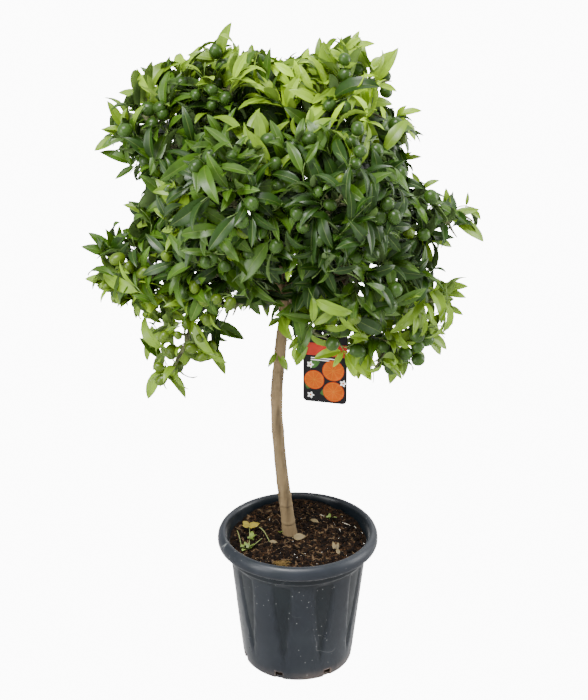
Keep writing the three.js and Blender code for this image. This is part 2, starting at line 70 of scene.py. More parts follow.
POT_HEIGHT = 250
POT_FOOT = 97
POT_SHOULDER = 119.5
SHOULDER_HEIGHT = 208  # the foot of the collar
POT_COLLAR = 123.5
POT_RIM = 140
RIM_DEPTH = 24
POT_WALL = 3
POT_FLOOR = 4
FLUTES = 10
FLUTE_DEPTH = 2.2
DRAINS = 7
DRAIN_WIDTH = 14
DRAIN_HEIGHT = 15
DRAIN_TURN = math.radians(-109.7)
DRAIN_PLACE = 100.5
SOIL_LEVEL = 226
SOIL_BANK = 15

TRUNK_PLACES = [
    (-14, 24, SOIL_LEVEL + CLEARANCE),
    (-21, 22, 290),
    (-30, 17, 375),
    (-36, 11, 490),
    (-29, 7, 590),
    (-22, 3, 665),
    (-37, 0, 728),
]
FLARE_RADIUS = 14
FOOT_RADIUS = 12
WAIST_RADIUS = 9.6
FORK_RADIUS = 9.6
FLARE_HEIGHT = 0.035
WAIST_HEIGHT = 0.5

BOUGH = {"main": 6.4, "side": 5.2, "tip": 3.8, "follow": 0.45, "bow": 0.5, "lift": 0.1, "entry": 0.6}
STEM = {"tip": 2.7, "reach": 0.3}
TWIG = {"spread": 1.8, "reach": 0.45, "scatter": 0.15, "lowest": 0.3, "highest": 0.95}

# Name, limb that its bough grows from, share of that limb's length, centre, half-sizes, twigs.
MASSES = [
    ("top_mid", "trunk", 1, (-105, 8, 1020), (102, 100, 120), 6),
    ("top_left", "top_mid", 0.4, (-214, -15, 966), (114, 100, 114), 6),
    ("top_right", "top_mid", 0.3, (90, -5, 1010), (120, 105, 116), 6),
    ("back_top", "top_mid", 0.5, (-35, 160, 975), (122, 110, 108), 6),
    ("right_mid", "trunk", 0.97, (148, -18, 845), (96, 100, 98), 6),
    ("left_mid", "trunk", 0.93, (-215, 5, 834), (88, 95, 84), 5),
    ("left_low", "left_mid", 0.5, (-257, -30, 730), (94, 92, 86), 5),
    ("left_hang", "left_low", 0.45, (-188, -60, 622), (80, 80, 94), 5),
    ("front_left", "trunk", 0.95, (-94, -160, 898), (110, 102, 110), 6),
    ("front_right", "front_left", 0.3, (50, -160, 893), (110, 102, 108), 6),
    ("under_left", "trunk", 0.86, (-122, -40, 694), (82, 84, 68), 4),
    ("low_mid", "trunk", 0.88, (25, -80, 660), (84, 85, 76), 5),
    ("left_inner", "left_mid", 0.25, (-132, -108, 768), (98, 88, 82), 5),
    ("right_inner", "low_mid", 0.35, (91, -112, 763), (98, 88, 80), 5),
    ("right_low", "trunk", 0.9, (202, -55, 704), (93, 92, 93), 5),
    ("right_arm", "right_low", 0.6, (246, -25, 822), (66, 64, 62), 5),
    ("low_right", "right_low", 0.5, (140, -50, 614), (82, 84, 80), 5),
    ("back_left", "trunk", 0.9, (-170, 165, 840), (118, 115, 118), 6),
    ("back_right", "trunk", 0.94, (90, 165, 850), (122, 115, 120), 6),
    ("back_low", "back_right", 0.3, (-15, 150, 705), (118, 105, 95), 5),
]
FIRST_SEED = 101
NEXT_SEED = 17

TAG_LIMB = "right_low"
TAG_AT = 0.49
TAG_DROP = 110
TAG_WIDTH = 74
TAG_HEIGHT = 132
TAG_THICKNESS = 1
TAG_CORNER = 7
SLOT_WIDTH = 10
SLOT_HEIGHT = 4
SLOT_EDGE = 8

# ---------- The finer growth ----------

EYE = Vector((-6.5, -2200, 1512))
VIEW_PITCH = math.radians(22.79)
LENS = 74.1

HEART = Vector((-15, 20, 815))
HEAD_RADII = Vector((330, 260, 310))
SHOOT = {"reach": 0.84, "apart": 33, "inner_apart": 46, "tries": 2200, "shortest": 14, "longest": 95}
SHOOT_THICK = 1.8
SHOOT_THIN = 0.75
TWIG_THICK = 2.6
TWIG_THIN = 0.9
FILLED = 0.32  # how far past a mass's own half-size its shoots reach inside the head

LEAF_LENGTH = (56, 92)
LEAF_WIDTH = 0.265
LEAF_STEP = 11
FEWEST_LEAVES = 4
END_LEAF = 0.88  # share of full size of the leaf at a shoot's end
LIME_LEAF = 0.8  # and of the youngest leaves
SHORT_LEAF = 0.72  # and of one that would stray at its full size
LEAF_MARGIN = 16  # how far leaves stay from the trunk
LEAF_APART = 7.5
LEAVES_IN_A_PIECE = 1500
LEAF_REACH = 1.05
LAID = 0.6  # how far leaves lie along the head's surface rather than point out of it
LEAF_STRAY = (3, -17)  # how far inside the outline the tips stay
LEAF_MIDDLES = (0.55, 0.25)  # shares of its length at which a leaf has to be clear of the rest
WAVES = 6.28  # how far a leaf's ripple may be shifted
LEAF_OVER = 30  # how far leaves may reach into the space of the next mass
SHORT_LEAF_OVER = 34  # and those that are made shorter
SHOOT_OVER = 8  # and the ends of shoots
SHOOT_INSET = 20  # how far inside the head's outline shoots end
SHOOT_SPREAD = 1.15  # share of a mass's half-size in which its shoots' ends are sought
HEAD_LOW, HEAD_HIGH = 600, 1020  # heights between which leaves change from hanging to standing
FRUIT_RADIUS = (8.5, 12.5)
SMALL_FRUIT = 0.75  # share of that radius, on the sprigs that hang at the left
TRUNK_MARGIN = 30  # how far shoots and fruit stay from the trunk
ABOVE_FORK = 745

# Outline of the head from the front at y = 0, across and up, clockwise from the lowest leaf by the trunk.
HEAD_OUTLINE = [
    (-50, 640), (-60, 665), (-110, 652), (-118, 615), (-102, 612), (-125, 545), (-165, 575), (-185, 500),
    (-205, 520), (-258, 500), (-246, 560), (-262, 598), (-256, 634), (-300, 660), (-325, 690), (-342, 722),
    (-312, 748), (-345, 770), (-332, 795), (-262, 806), (-285, 840), (-240, 856), (-225, 882), (-290, 886),
    (-278, 905), (-322, 932), (-290, 958), (-298, 1004), (-262, 1008), (-262, 1046), (-208, 1072),
    (-172, 1082), (-125, 1100), (-105, 1130), (-92, 1085), (-58, 1102), (-42, 1072), (0, 1072), (30, 1096),
    (85, 1115), (110, 1082), (152, 1092), (134, 1040), (138, 996), (182, 984), (190, 950), (175, 905),
    (172, 880), (215, 874), (250, 862), (300, 828), (285, 806), (308, 784), (232, 780), (212, 752),
    (228, 726), (284, 704), (265, 678), (250, 660), (262, 632), (246, 595), (212, 576), (185, 540),
    (165, 520), (140, 545), (98, 530), (88, 570), (10, 575), (-14, 548), (-22, 600),
]

# Views of the sky through the head, likewise, and how wide.
WINDOWS = [
    (-272, 1005, 12), (221, 866, 14), (139, 546, 14), (243, 793, 12), (-131, 597, 13), (-83, 1073, 12),
    (-209, 566, 11), (220, 588, 12), (-41, 660, 10), (-234, 588, 12), (-267, 811, 11), (181, 932, 12),
    (-189, 622, 10), (252, 849, 11), (-8, 618, 9), (260, 673, 10), (-162, 641, 10), (12, 890, 9),
    (-108, 636, 15), (-119, 586, 10), (-171, 564, 14), (-246, 522, 8), (-189, 925, 9), (-239, 870, 10),
    (-129, 806, 9), (-137, 600, 9), (-200, 582, 9), (-124, 640, 8), (-222, 1054, 9), (112, 1082, 9),
]

# Sprays whose leaves stand clear of the head: the node of each, then its leaves' tips, across and up.
LEADING_SPRAYS = [
    ((-121, 1068), [(-102, 1127), (-89, 1086), (-170, 1077), (-186, 1050)]),
    ((-204, 1019), [(-197, 1074), (-242, 1059), (-215, 1056)]),
    ((-229, 1009), [(-278, 1019), (-263, 994), (-260, 1022)]),
    ((-271, 959), [(-295, 1006), (-266, 995), (-305, 961)]),
    ((-276, 949), [(-321, 926), (-308, 962)]),
    ((-254, 903), [(-312, 926), (-290, 880)]),
    ((-234, 926), [(-246, 883), (-267, 927)]),
    ((-207, 928), [(-217, 868)]),
    ((68, 1080), [(118, 1095), (65, 1104), (95, 1103)]),
    ((116, 1031), [(153, 1088), (154, 1020)]),
    ((152, 981), [(193, 991), (167, 998), (187, 940)]),
    ((160, 911), [(194, 917), (178, 924)]),
    ((194, 862), [(224, 880), (179, 892)]),
    ((237, 819), [(234, 867), (289, 831), (283, 793), (303, 776)]),
    ((267, 836), [(269, 859), (293, 813)]),
    ((197, 789), [(251, 767), (217, 725)]),
    ((220, 694), [(278, 701), (276, 681), (254, 662)]),
    ((239, 666), [(255, 634), (272, 650)]),
    ((208, 623), [(246, 616), (239, 577), (249, 588)]),
    ((175, 595), [(152, 524), (145, 568), (175, 539)]),
    ((-219, 814), [(-280, 841), (-264, 799)]),
    ((-268, 774), [(-298, 786), (-256, 799)]),
    ((-295, 752), [(-336, 793), (-349, 769), (-307, 799), (-285, 803)]),
    ((-286, 704), [(-347, 714)]),
    ((-264, 690), [(-300, 723), (-320, 702), (-279, 719)]),
    ((-151, 639), [(-87, 607), (-176, 673)]),
    ((-154, 600), [(-118, 541), (-120, 566)]),
    ((-175, 609), [(-207, 541), (-188, 557)]),
    ((-224, 570), [(-262, 611)]),
    ((-241, 613), [(-252, 566)]),
    ((-226, 557), [(-254, 497), (-185, 498), (-231, 519)]),
    ((-35, 585), [(-16, 548), (-50, 556)]),
    ((105, 580), [(100, 532), (122, 545)]),
    ((18, 616), [(-5, 555), (-18, 588)]),
    ((-85, 690), [(-61, 648)]),
    ((-25, 645), [(-51, 629)]),
]

# The shoot that hangs before the tag: its node and the tips of its leaves, likewise.
TAG_SPRAY = ((76, 586), [(24, 573), (134, 558), (58, 556), (98, 534), (128, 530)])
SPRAY_BEFORE_TAG = 34
TAG_VIEW = (14, 86, 470, 616)  # the part of the front that is open before the tag: left, right, low, high

# Fruits that show at the front, likewise: across, up, how many hang together.
FRUIT_CLUSTERS = [
    (-120, 1070, 2), (-126, 1010, 3), (-223, 982, 3), (-246, 1042, 1), (-158, 1014, 1), (-214, 994, 1),
    (-47, 943, 1), (-72, 935, 1), (48, 998, 1), (72, 994, 1), (71, 1057, 2), (127, 1030, 3),
    (132, 980, 1), (143, 959, 2), (88, 950, 2), (97, 925, 1), (123, 926, 1), (162, 890, 1), (66, 879, 1),
    (51, 838, 1), (3, 812, 2), (35, 779, 1), (-35, 769, 1), (-87, 793, 1), (142, 825, 3), (189, 790, 2),
    (211, 851, 1), (169, 814, 1), (273, 798, 1), (-120, 752, 4), (-149, 742, 1), (-304, 738, 1),
    (-282, 740, 2), (-168, 699, 1), (-122, 674, 2), (-210, 613, 2), (-160, 592, 4), (-230, 545, 2),
    (158, 694, 1), (150, 666, 1), (192, 582, 3), (212, 606, 1),
]
CLUSTER_REACH = 20


def vec(x, y, z):
    return Vector((x, y, z))


def lerp(a, b, t):
    return a + (b - a) * t


def clamp(value):
    return min(1.0, max(0.0, value))


def smooth_step(low, high, value):
    """0 at low and 1 at high, with a soft start and end; high may be the lesser."""
    t = clamp((value - low) / (high - low))
    return t * t * (3 - 2 * t)


def square_to(direction, hint):
    return (hint - direction * hint.dot(direction)).normalized()


WORD = 0xFFFFFFFF


def dice(seed):
    """A repeatable stream of numbers from 0 to 1, the same one that the solids are grown from."""
    state = seed & WORD

    def roll():
        nonlocal state
        state = (state + 0x6D2B79F5) & WORD
        mixed = ((state ^ (state >> 15)) * (state | 1)) & WORD
        mixed ^= (mixed + (((mixed ^ (mixed >> 7)) * (mixed | 61)) & WORD)) & WORD
        return (mixed ^ (mixed >> 14)) / 4294967296

    return roll


class Arc:
    """A limb's line: a quadratic curve from start by bend to end, with its radius at both ends."""

    def __init__(self, start, bend, end, thick, thin):
        self.start, self.bend, self.end = start, bend, end
        self.thick, self.thin = thick, thin

    def point(self, t):
        return self.start * (1 - t) ** 2 + self.bend * (2 * t * (1 - t)) + self.end * t**2

    def tangent(self, t):
        return ((self.bend - self.start) * (1 - t) + (self.end - self.bend) * t).normalized()

    def radius(self, t):
        return lerp(self.thick, self.thin, t)


class TrunkLine:
    """The stem's line, a smooth curve through its places."""

    def __init__(self):
        places = [Vector(place) for place in TRUNK_PLACES]
        before = places[0] * 2 - places[1]
        after = places[-1] * 2 - places[-2]
        self.places = [before, *places, after]
        self.spans = len(places) - 1

    def point(self, t):
        share = t * self.spans
        i = min(int(share), self.spans - 1)
        w = share - i
        a, b, c, d = self.places[i : i + 4]
        leave = (c - a) * 0.5
        arrive = (d - b) * 0.5
        cubic = b * 2 - c * 2 + leave + arrive
        square = c * 3 - b * 3 - leave * 2 - arrive
        return b + leave * w + square * w**2 + cubic * w**3

    def tangent(self, t):
        low, high = max(0.0, t - 1e-4), min(1.0, t + 1e-4)
        return (self.point(high) - self.point(low)).normalized()

    def radius(self, t):
        flare = (FLARE_RADIUS - FOOT_RADIUS) * math.exp(-t / FLARE_HEIGHT)
        if t < WAIST_HEIGHT:
            return flare + lerp(FOOT_RADIUS, WAIST_RADIUS, t / WAIST_HEIGHT)
        return lerp(WAIST_RADIUS, FORK_RADIUS, (t - WAIST_HEIGHT) / (1 - WAIST_HEIGHT))


class Mass:
    def __init__(self, index, name, parent, at, centre, radii, twigs):
        self.name, self.parent, self.at = name, parent, at
        self.centre, self.radii = Vector(centre), Vector(radii)
        self.twigs = twigs
        self.mean = sum(radii) / 3
        self.seed = FIRST_SEED + NEXT_SEED * index

    def surface(self, direction):
        return Vector(a * b for a, b in zip(direction, self.radii))

    def depth(self, place):
        """0 at the middle of the mass's space and 1 at its outline."""
        away = place - self.centre
        return math.sqrt(sum((a / b) ** 2 for a, b in zip(away, self.radii)))


masses = [Mass(i, *row) for i, row in enumerate(MASSES)]


def make_bough(mass, parent):
    start = parent.point(mass.at)
    towards = (mass.centre - start).normalized()
    reach = 1 / Vector(a / b for a, b in zip(towards, mass.radii)).length
    end = mass.centre - towards * (reach * BOUGH["entry"])
    span = (end - start).length
    leaving = towards.lerp(parent.tangent(mass.at), BOUGH["follow"]).normalized()
    bend = start + leaving * (span * BOUGH["bow"]) + UP * (span * BOUGH["lift"])
    thick = BOUGH["main"] if mass.parent == "trunk" else BOUGH["side"]
    return Arc(start, bend, end, thick, BOUGH["tip"])


def make_stem(mass, bough):
    heading = bough.tangent(1)
    root = bough.point(1)
    mass.outward = (mass.centre - root - heading * CLEARANCE).normalized()
    heart = mass.centre + mass.outward * (STEM["reach"] * mass.mean)
    bend = root + heading * ((heart - root).length * 0.5)
    return Arc(root, bend, heart, BOUGH["tip"], STEM["tip"])


limbs = {"trunk": TrunkLine()}
for mass in masses:
    limbs[mass.name] = make_bough(mass, limbs[mass.parent])
stems = {mass.name: make_stem(mass, limbs[mass.name]) for mass in masses}


def beyond_neighbours(mass, place):
    """How far a place lies on the mass's own side of its nearest neighbour; negative past the border."""

    def power(other):
        return (place - other.centre).length_squared - other.mean**2

    own = power(mass)
    margins = []
    for other in masses:
        if other is not mass:
            margins.append((power(other) - own) / (2 * (other.centre - mass.centre).length))
    return min(margins)


def in_space(mass, place, reach=1.0, over=0.0):
    return mass.depth(place) <= reach and beyond_neighbours(mass, place) > -over


def seen_at(place):
    """Where a place is seen from the front, at y = 0."""
    share = -EYE.y / (place.y - EYE.y)
    return EYE.x + (place.x - EYE.x) * share, EYE.z + (place.z - EYE.z) * share


outline_from = np.array(HEAD_OUTLINE, float)
outline_to = np.roll(outline_from, -1, axis=0)
outline_side = outline_to - outline_from


def inside_outline(x, z):
    """Distance to the head's outline, negative outside it."""
    away = np.array([x, z]) - outline_from
    along = np.clip((away * outline_side).sum(1) / (outline_side**2).sum(1), 0, 1)
    nearest = np.hypot(*(away - outline_side * along[:, None]).T).min()
    crosses = (outline_from[:, 1] > z) != (outline_to[:, 1] > z)
    rise = outline_side[crosses]
    at = outline_from[crosses][:, 0] + (z - outline_from[crosses][:, 1]) * rise[:, 0] / rise[:, 1]
    return nearest if np.count_nonzero(at > x) % 2 else -nearest


def on_sight(x, z, y):
    """The place at a depth y that is seen at (x, z) from the front."""
    return EYE + (vec(x, 0, z) - EYE) * ((y - EYE.y) / -EYE.y)


def open_sky(place, inset):
    """Whether a place is outside the head's outline, less an inset, or in one of its gaps."""
    x, z = seen_at(place)
    if any(math.hypot(x - a, z - b) < radius for a, b, radius in WINDOWS):
        return True
    return inside_outline(x, z) < inset


def head_depth(place):
    away = place - HEART
    return math.sqrt(sum((a / b) ** 2 for a, b in zip(away, HEAD_RADII)))


def reach_at(place, reach):
    """How much of its mass's half-size a place may use: more inside the head, to close the gaps there."""
    return reach + FILLED * (1 - smooth_step(0.82, 1.0, head_depth(place)))


def main_twigs(mass):
    """The twigs of the solids, in the same places."""
    roll = dice(mass.seed)
    stem = stems[mass.name]
    hint = vec(0, -1, 0) if abs(mass.outward.z) > 0.8 else UP
    side = square_to(mass.outward, hint)
    third = mass.outward.cross(side)
    phase = roll() * 2 * math.pi
    twigs = []
    for k in range(mass.twigs):
        lift = 1 - (TWIG["spread"] * (k + 0.5)) / mass.twigs
        around = math.sqrt(max(0.0, 1 - lift * lift))
        turn = k * GOLDEN_ANGLE + phase
        direction = mass.outward * lift + side * (around * math.cos(turn))
        direction += third * (around * math.sin(turn))
        reach = TWIG["reach"] + TWIG["scatter"] * roll()
        tip = mass.surface(direction) * reach + mass.centre
        height = clamp(0.4 + 0.6 * lift + TWIG["scatter"] * (roll() - 0.5))
        start = stem.point(lerp(TWIG["lowest"], TWIG["highest"], height))
        if not in_space(mass, tip, 1.0, 6):
            continue
        middle = (start + tip) / 2
        bow = square_to((tip - start).normalized(), direction + UP * 0.4) * ((tip - start).length * 0.1)
        twigs.append(Arc(start, middle + bow, tip, TWIG_THICK, TWIG_THIN))
    return twigs


def any_way(pick):
    return Vector((pick.gauss(0, 1), pick.gauss(0, 1), pick.gauss(0, 1))).normalized()


shoot_tips = []


def spread_tips(mass, pick):
    """Evenly spread places in the mass's own space for shoots to reach, fewer of them inside the head."""
    own = []
    for _ in range(SHOOT["tries"]):
        place = mass.centre + mass.surface(any_way(pick)) * (SHOOT_SPREAD * pick.random() ** (1 / 3))
        if mass.depth(place) > reach_at(place, SHOOT["reach"]):
            continue
        apart = lerp(SHOOT["inner_apart"], SHOOT["apart"], smooth_step(0.4, 0.75, head_depth(place)))
        if any((place - other).length < apart for other in shoot_tips):
            continue
        if beyond_neighbours(mass, place) < -SHOOT_OVER or open_sky(place, SHOOT_INSET):
            continue
        if not clear_of_trunk(place, TRUNK_MARGIN):
            continue
        shoot_tips.append(place)
        own.append(place)
    root = stems[mass.name].start
    return sorted(own, key=lambda place: (place - root).length)


def growing_points(line, first):
    """Where wood may branch: place, heading and radius, from the first share of its length on."""
    shares = (first, 0.5, 0.65, 0.8, 0.9, 1.0)
    return [(line.point(t), line.tangent(t), line.radius(t)) for t in shares]


def grow_shoots(mass, twigs, pick):
    """Shoots that branch from the nearest wood that heads their way, or from earlier shoots."""
    growing = growing_points(stems[mass.name], 0.2)
    for twig in twigs:
        growing += growing_points(twig, 0.3)
    shoots = []
    for tip in spread_tips(mass, pick):

        def effort(point):
            away = tip - point[0]
            length = away.length
            return length * (1.45 - 0.45 * away.dot(point[1]) / max(length, 1))

        start, heading, thick = min(growing, key=effort)
        away = tip - start
        length = away.length
        if not SHOOT["shortest"] < length < SHOOT["longest"]:
            continue
        bend = start + away * 0.3 + heading * (length * 0.25) - UP * (length * 0.04)
        shoot = Arc(start, bend, tip, min(thick * 0.9, SHOOT_THICK), SHOOT_THIN)
        shoots.append(shoot)
        growing += growing_points(shoot, 0.35)
    return shoots


class Leaves:
    """Places of leaves, one row each: root, way, face, length, width, bend, fold, twist, wave, tone."""

    def __init__(self):
        self.rows = []
        self.middles = {}

    def crowded(self, middle, apart):
        cell = tuple(int(c // apart) for c in middle)
        for i in (-1, 0, 1):
            for j in (-1, 0, 1):
                for k in (-1, 0, 1):
                    for other in self.middles.get((cell[0] + i, cell[1] + j, cell[2] + k), ()):
                        if (other - middle).length < apart:
                            return True
        self.middles.setdefault(cell, []).append(middle)
        return False


leaves = Leaves()
shown_fruit = []
all_fruit = []


def hides_fruit(place):
    """Whether a place lies before one of the fruits that show."""
    x, z = seen_at(place)
    for centre, radius, seen in shown_fruit:
        if place.y < centre.y + 5 and math.hypot(x - seen[0], z - seen[1]) < radius * 0.9:
            return True
    return False


def hides_tag(place):
    """Whether a place lies before the part of the tag that shows."""
    x, z = seen_at(place)
    left, right, low, high = TAG_VIEW
    return place.y < tag_middle.y and left < x < right and low < z < high


def clear_of_trunk(place, margin):
    if place.z > ABOVE_FORK:
        return True
    trunk = limbs["trunk"]
    t = clamp((place.z - SOIL_LEVEL) / (TRUNK_PLACES[-1][2] - SOIL_LEVEL))
    return (trunk.point(t) - place).length > margin


# deep to sunlit are one leaf green in painted shade and painted light; lime is the colour of new growth
DEEP, DARK, MID, SUNLIT, LIME = range(5)  # the colours of leaves, from the darkest
PALE_ACROSS, PALE_TOP = 15, 1060  # where the palest growth is


def leaf_tone_and_painted_light(tip, pick):
    """Which colour a spray takes: lime new growth near the top, else one green in painted shade deep inside
    the head and in painted light, paler at the outside, at the top, on the left and at the foot of the
    head.
    """
    outer = smooth_step(0.4, 0.92, head_depth(tip))
    lime = math.exp(-(((tip.x - PALE_ACROSS) / 90) ** 2) - ((tip.z - PALE_TOP) / 50) ** 2)
    if pick.random() < 0.7 * lime:
        return LIME
    middle = math.exp(-(((tip.x - PALE_ACROSS) / 170) ** 2))
    high = smooth_step(900, PALE_TOP, tip.z)
    left = 0.3 * smooth_step(-60, -200, tip.x)
    foot = lerp(2.8, 0.2, smooth_step(670, 790, tip.z))
    # painted light: a paler copy of the green at the outside, the top, the left and the foot of the head;
    # painted shade inside it
    painted_light = foot + lerp(1.9, 3.0, middle) * high + left
    value = 0.4 + outer * painted_light + pick.gauss(0, lerp(0.7, 1.15, high))
    palest = MID if tip.z < 720 else SUNLIT
    return int(min(palest, max(DEEP, value)))


def leaf_pose(heading, t, turn, outward, high, pick):
    """The way a leaf points and the way it faces, at a share t of its shoot and a turn round it."""
    across = square_to(heading, X_AXIS if abs(heading.z) > 0.9 else UP)
    out = across * math.cos(turn) + heading.cross(across) * math.sin(turn)
    angle = lerp(1.2, 0.45, t) + pick.uniform(-0.15, 0.2)
    way = heading * math.cos(angle) + out * math.sin(angle)
    lift = lerp(-0.55, 0.35, high) + pick.uniform(-0.2, 0.2)
    way = (way + outward * 0.3 + UP * lift).normalized()
    laid = pick.uniform(0.0, 0.95) * LAID
    way = (way - outward * (max(0.0, way.dot(outward)) * laid)).normalized()
    face = square_to(way, heading * 0.2 + UP * 0.6 + outward * (0.45 + 0.5 * laid))
    return way, Matrix.Rotation(pick.gauss(0, 0.6), 3, way) @ face


def tip_strays(mass, tip, stray, over):
    return not in_space(mass, tip, reach_at(tip, LEAF_REACH), over) or open_sky(tip, stray)


def leaf_has_room(tip, middles):
    """Whether a leaf is clear of the trunk and the tag, and hides no gap, fruit or tag."""
    places = (tip, *middles)
    if any(not clear_of_trunk(place, LEAF_MARGIN) or not clear_of_tag(place) for place in places):
        return False
    if any(open_sky(place, 2) or hides_fruit(place) for place in middles):
        return False
    return not any(hides_tag(place) for place in places)


def grow_leaves(mass, shoot, pick):
    """Leaves in a spiral round a shoot, shorter or left out where they would stray."""
    length = (shoot.end - shoot.start).length
    count = max(FEWEST_LEAVES, round(length / LEAF_STEP) + 2)
    tone = leaf_tone_and_painted_light(shoot.end, pick)
    turn = pick.uniform(0, 2 * math.pi)
    high = clamp((shoot.end.z - HEAD_LOW) / (HEAD_HIGH - HEAD_LOW))
    outward = (shoot.end - HEART).normalized()
    for i in range(count):
        t = lerp(0.3, 1.0, i / (count - 1))
        turn += GOLDEN_ANGLE
        way, face = leaf_pose(shoot.tangent(t), t, turn, outward, high, pick)
        size = lerp(*LEAF_LENGTH, pick.random())
        size *= END_LEAF if i == count - 1 else 1.0
        size *= LIME_LEAF if tone == LIME else 1.0
        root = shoot.point(t)
        stray = lerp(*LEAF_STRAY, pick.random() ** 2)
        if tip_strays(mass, root + way * size, stray, LEAF_OVER):
            size *= SHORT_LEAF
            if tip_strays(mass, root + way * size, stray, SHORT_LEAF_OVER):
                continue
        middles = [root + way * (size * share) for share in LEAF_MIDDLES]
        if not leaf_has_room(root + way * size, middles) or leaves.crowded(middles[0], LEAF_APART):
            continue
        width = LEAF_WIDTH * pick.uniform(0.85, 1.2)
        bend = pick.uniform(0.4, lerp(2.0, 1.5, high))
        fold = pick.uniform(0.15, 0.6)
        twist = pick.uniform(-0.45, 0.45)
        wave = pick.uniform(0.0, WAVES)
        leaves.rows.append((*root, *way, *face, size, width, bend, fold, twist, wave, tone))


# ---------- Tag's place ----------

tag_limb = limbs[TAG_LIMB]
tag_heading = tag_limb.tangent(TAG_AT)
tag_hook = tag_limb.point(TAG_AT)
tag_middle = tag_hook + UP * (SLOT_EDGE - TAG_DROP - TAG_HEIGHT / 2)
tag_turn = math.atan2(tag_heading.y, tag_heading.x)


def clear_of_tag(place):
    local = Matrix.Rotation(-tag_turn, 3, "Z") @ (place - tag_middle)
    beside = abs(local.x) > TAG_WIDTH / 2 + 3 or abs(local.y) > 4
    return beside or local.z > TAG_HEIGHT / 2 + TAG_DROP or local.z < -TAG_HEIGHT / 2 - 3


# ---------- Materials ----------


def new_material(name, colour, roughness, **sockets):
    material = bpy.data.materials.new(name)
    material.use_nodes = True
    shader = material.node_tree.nodes["Principled BSDF"]
    shader.inputs["Base Color"].default_value = (*colour, 1)
    shader.inputs["Roughness"].default_value = roughness
    for socket, value in sockets.items():
        shader.inputs[socket.replace("_", " ")].default_value = value
    return material


def pattern(material, kind="ShaderNodeTexNoise", scale=10.0, stretch=(1, 1, 1), detail=3.0):
    """A pattern on the piece's own coordinates, and its socket."""
    tree = material.node_tree
    place = tree.nodes.new("ShaderNodeTexCoord")
    mapping = tree.nodes.new("ShaderNodeMapping")
    mapping.inputs["Scale"].default_value = stretch
    texture = tree.nodes.new(kind)
    texture.inputs["Scale"].default_value = scale
    if kind == "ShaderNodeTexNoise":
        texture.inputs["Detail"].default_value = detail
    tree.links.new(place.outputs["Object"], mapping.inputs["Vector"])
    tree.links.new(mapping.outputs["Vector"], texture.inputs["Vector"])
    return texture


def ramp(material, source, stops):
    """Turns a pattern's value into a colour by named stops of (position, colour)."""
    tree = material.node_tree
    node = tree.nodes.new("ShaderNodeValToRGB")
    elements = node.color_ramp.elements
    while len(elements) < len(stops):
        elements.new(0.5)
    for element, (position, colour) in zip(elements, stops):
        element.position = position
        element.color = (*colour, 1)
    tree.links.new(source, node.inputs["Fac"])
    return node.outputs["Color"]


def mix_colour(material, factor, first, second, blend="MIX"):
    tree = material.node_tree
    node = tree.nodes.new("ShaderNodeMix")
    node.data_type = "RGBA"
    node.blend_type = blend
    for socket, value in ((node.inputs[0], factor), (node.inputs[6], first), (node.inputs[7], second)):
        if isinstance(value, (int, float)):
            socket.default_value = value
        elif isinstance(value, tuple):
            socket.default_value = (*value, 1)
        else:
            tree.links.new(value, socket)
    return node.outputs[2]


def set_colour(material, socket):
    shader = material.node_tree.nodes["Principled BSDF"]
    material.node_tree.links.new(socket, shader.inputs["Base Color"])


def set_roughness(material, source, low, high):
    tree = material.node_tree
    node = tree.nodes.new("ShaderNodeMapRange")
    node.inputs["To Min"].default_value = low
    node.inputs["To Max"].default_value = high
    tree.links.new(source, node.inputs["Value"])
    tree.links.new(node.outputs["Result"], tree.nodes["Principled BSDF"].inputs["Roughness"])


def set_bump(material, source, strength, depth):
    tree = material.node_tree
    node = tree.nodes.new("ShaderNodeBump")
    node.inputs["Strength"].default_value = strength
    node.inputs["Distance"].default_value = depth
    tree.links.new(source, node.inputs["Height"])
    tree.links.new(node.outputs["Normal"], tree.nodes["Principled BSDF"].inputs["Normal"])


def shaded(colour, factor):
    return tuple(min(1.0, c * factor) for c in colour)


def mottled(name, colour, roughness, scale, spread=0.2, bump=0.0, depth=0.0, specular=0.5):
    """A colour that varies softly over the surface, with a matching change of gloss."""
    material = new_material(name, colour, roughness, Specular_IOR_Level=specular)
    cloud = pattern(material, scale=scale)
    tones = [(0.3, shaded(colour, 1 - spread)), (0.7, shaded(colour, 1 + spread))]
    set_colour(material, ramp(material, cloud.outputs["Fac"], tones))
    set_roughness(material, cloud.outputs["Fac"], roughness - 0.06, roughness + 0.06)
    if bump:
        grain = pattern(material, scale=scale * 6)
        set_bump(material, grain.outputs["Fac"], bump, depth)
    return material


# deep to sunlit: the leaf green in painted shade to painted light; lime: the colour of new growth
LEAF_TONES = [  # in the order of DEEP to LIME
    ("deep", (0.011, 0.036, 0.001)),
    ("dark", (0.036, 0.086, 0.003)),
    ("mid", (0.122, 0.214, 0.010)),
    ("fresh", (0.220, 0.360, 0.016)),
    ("lime", (0.320, 0.530, 0.008)),
]
UNDERSIDE = (0.14, 0.21, 0.07)
MIDRIB = (0.34, 0.44, 0.10)


def leaf_materials(name, colour):
    top = mottled("leaf_" + name, colour, 0.38, 40, bump=0.25, depth=0.0004, specular=0.31)
    under_colour = tuple(lerp(c, p, 0.45) for c, p in zip(colour, UNDERSIDE))
    under = mottled("leaf_under_" + name, under_colour, 0.6, 40, 0.1, specular=0.25)
    rib_colour = tuple(lerp(c, p, 0.14) for c, p in zip(colour, MIDRIB))
    rib = mottled("leaf_rib_" + name, rib_colour, 0.5, 60, 0.08, specular=0.3)
    return [top, under, rib]


# ---------- Meshes from arrays ----------


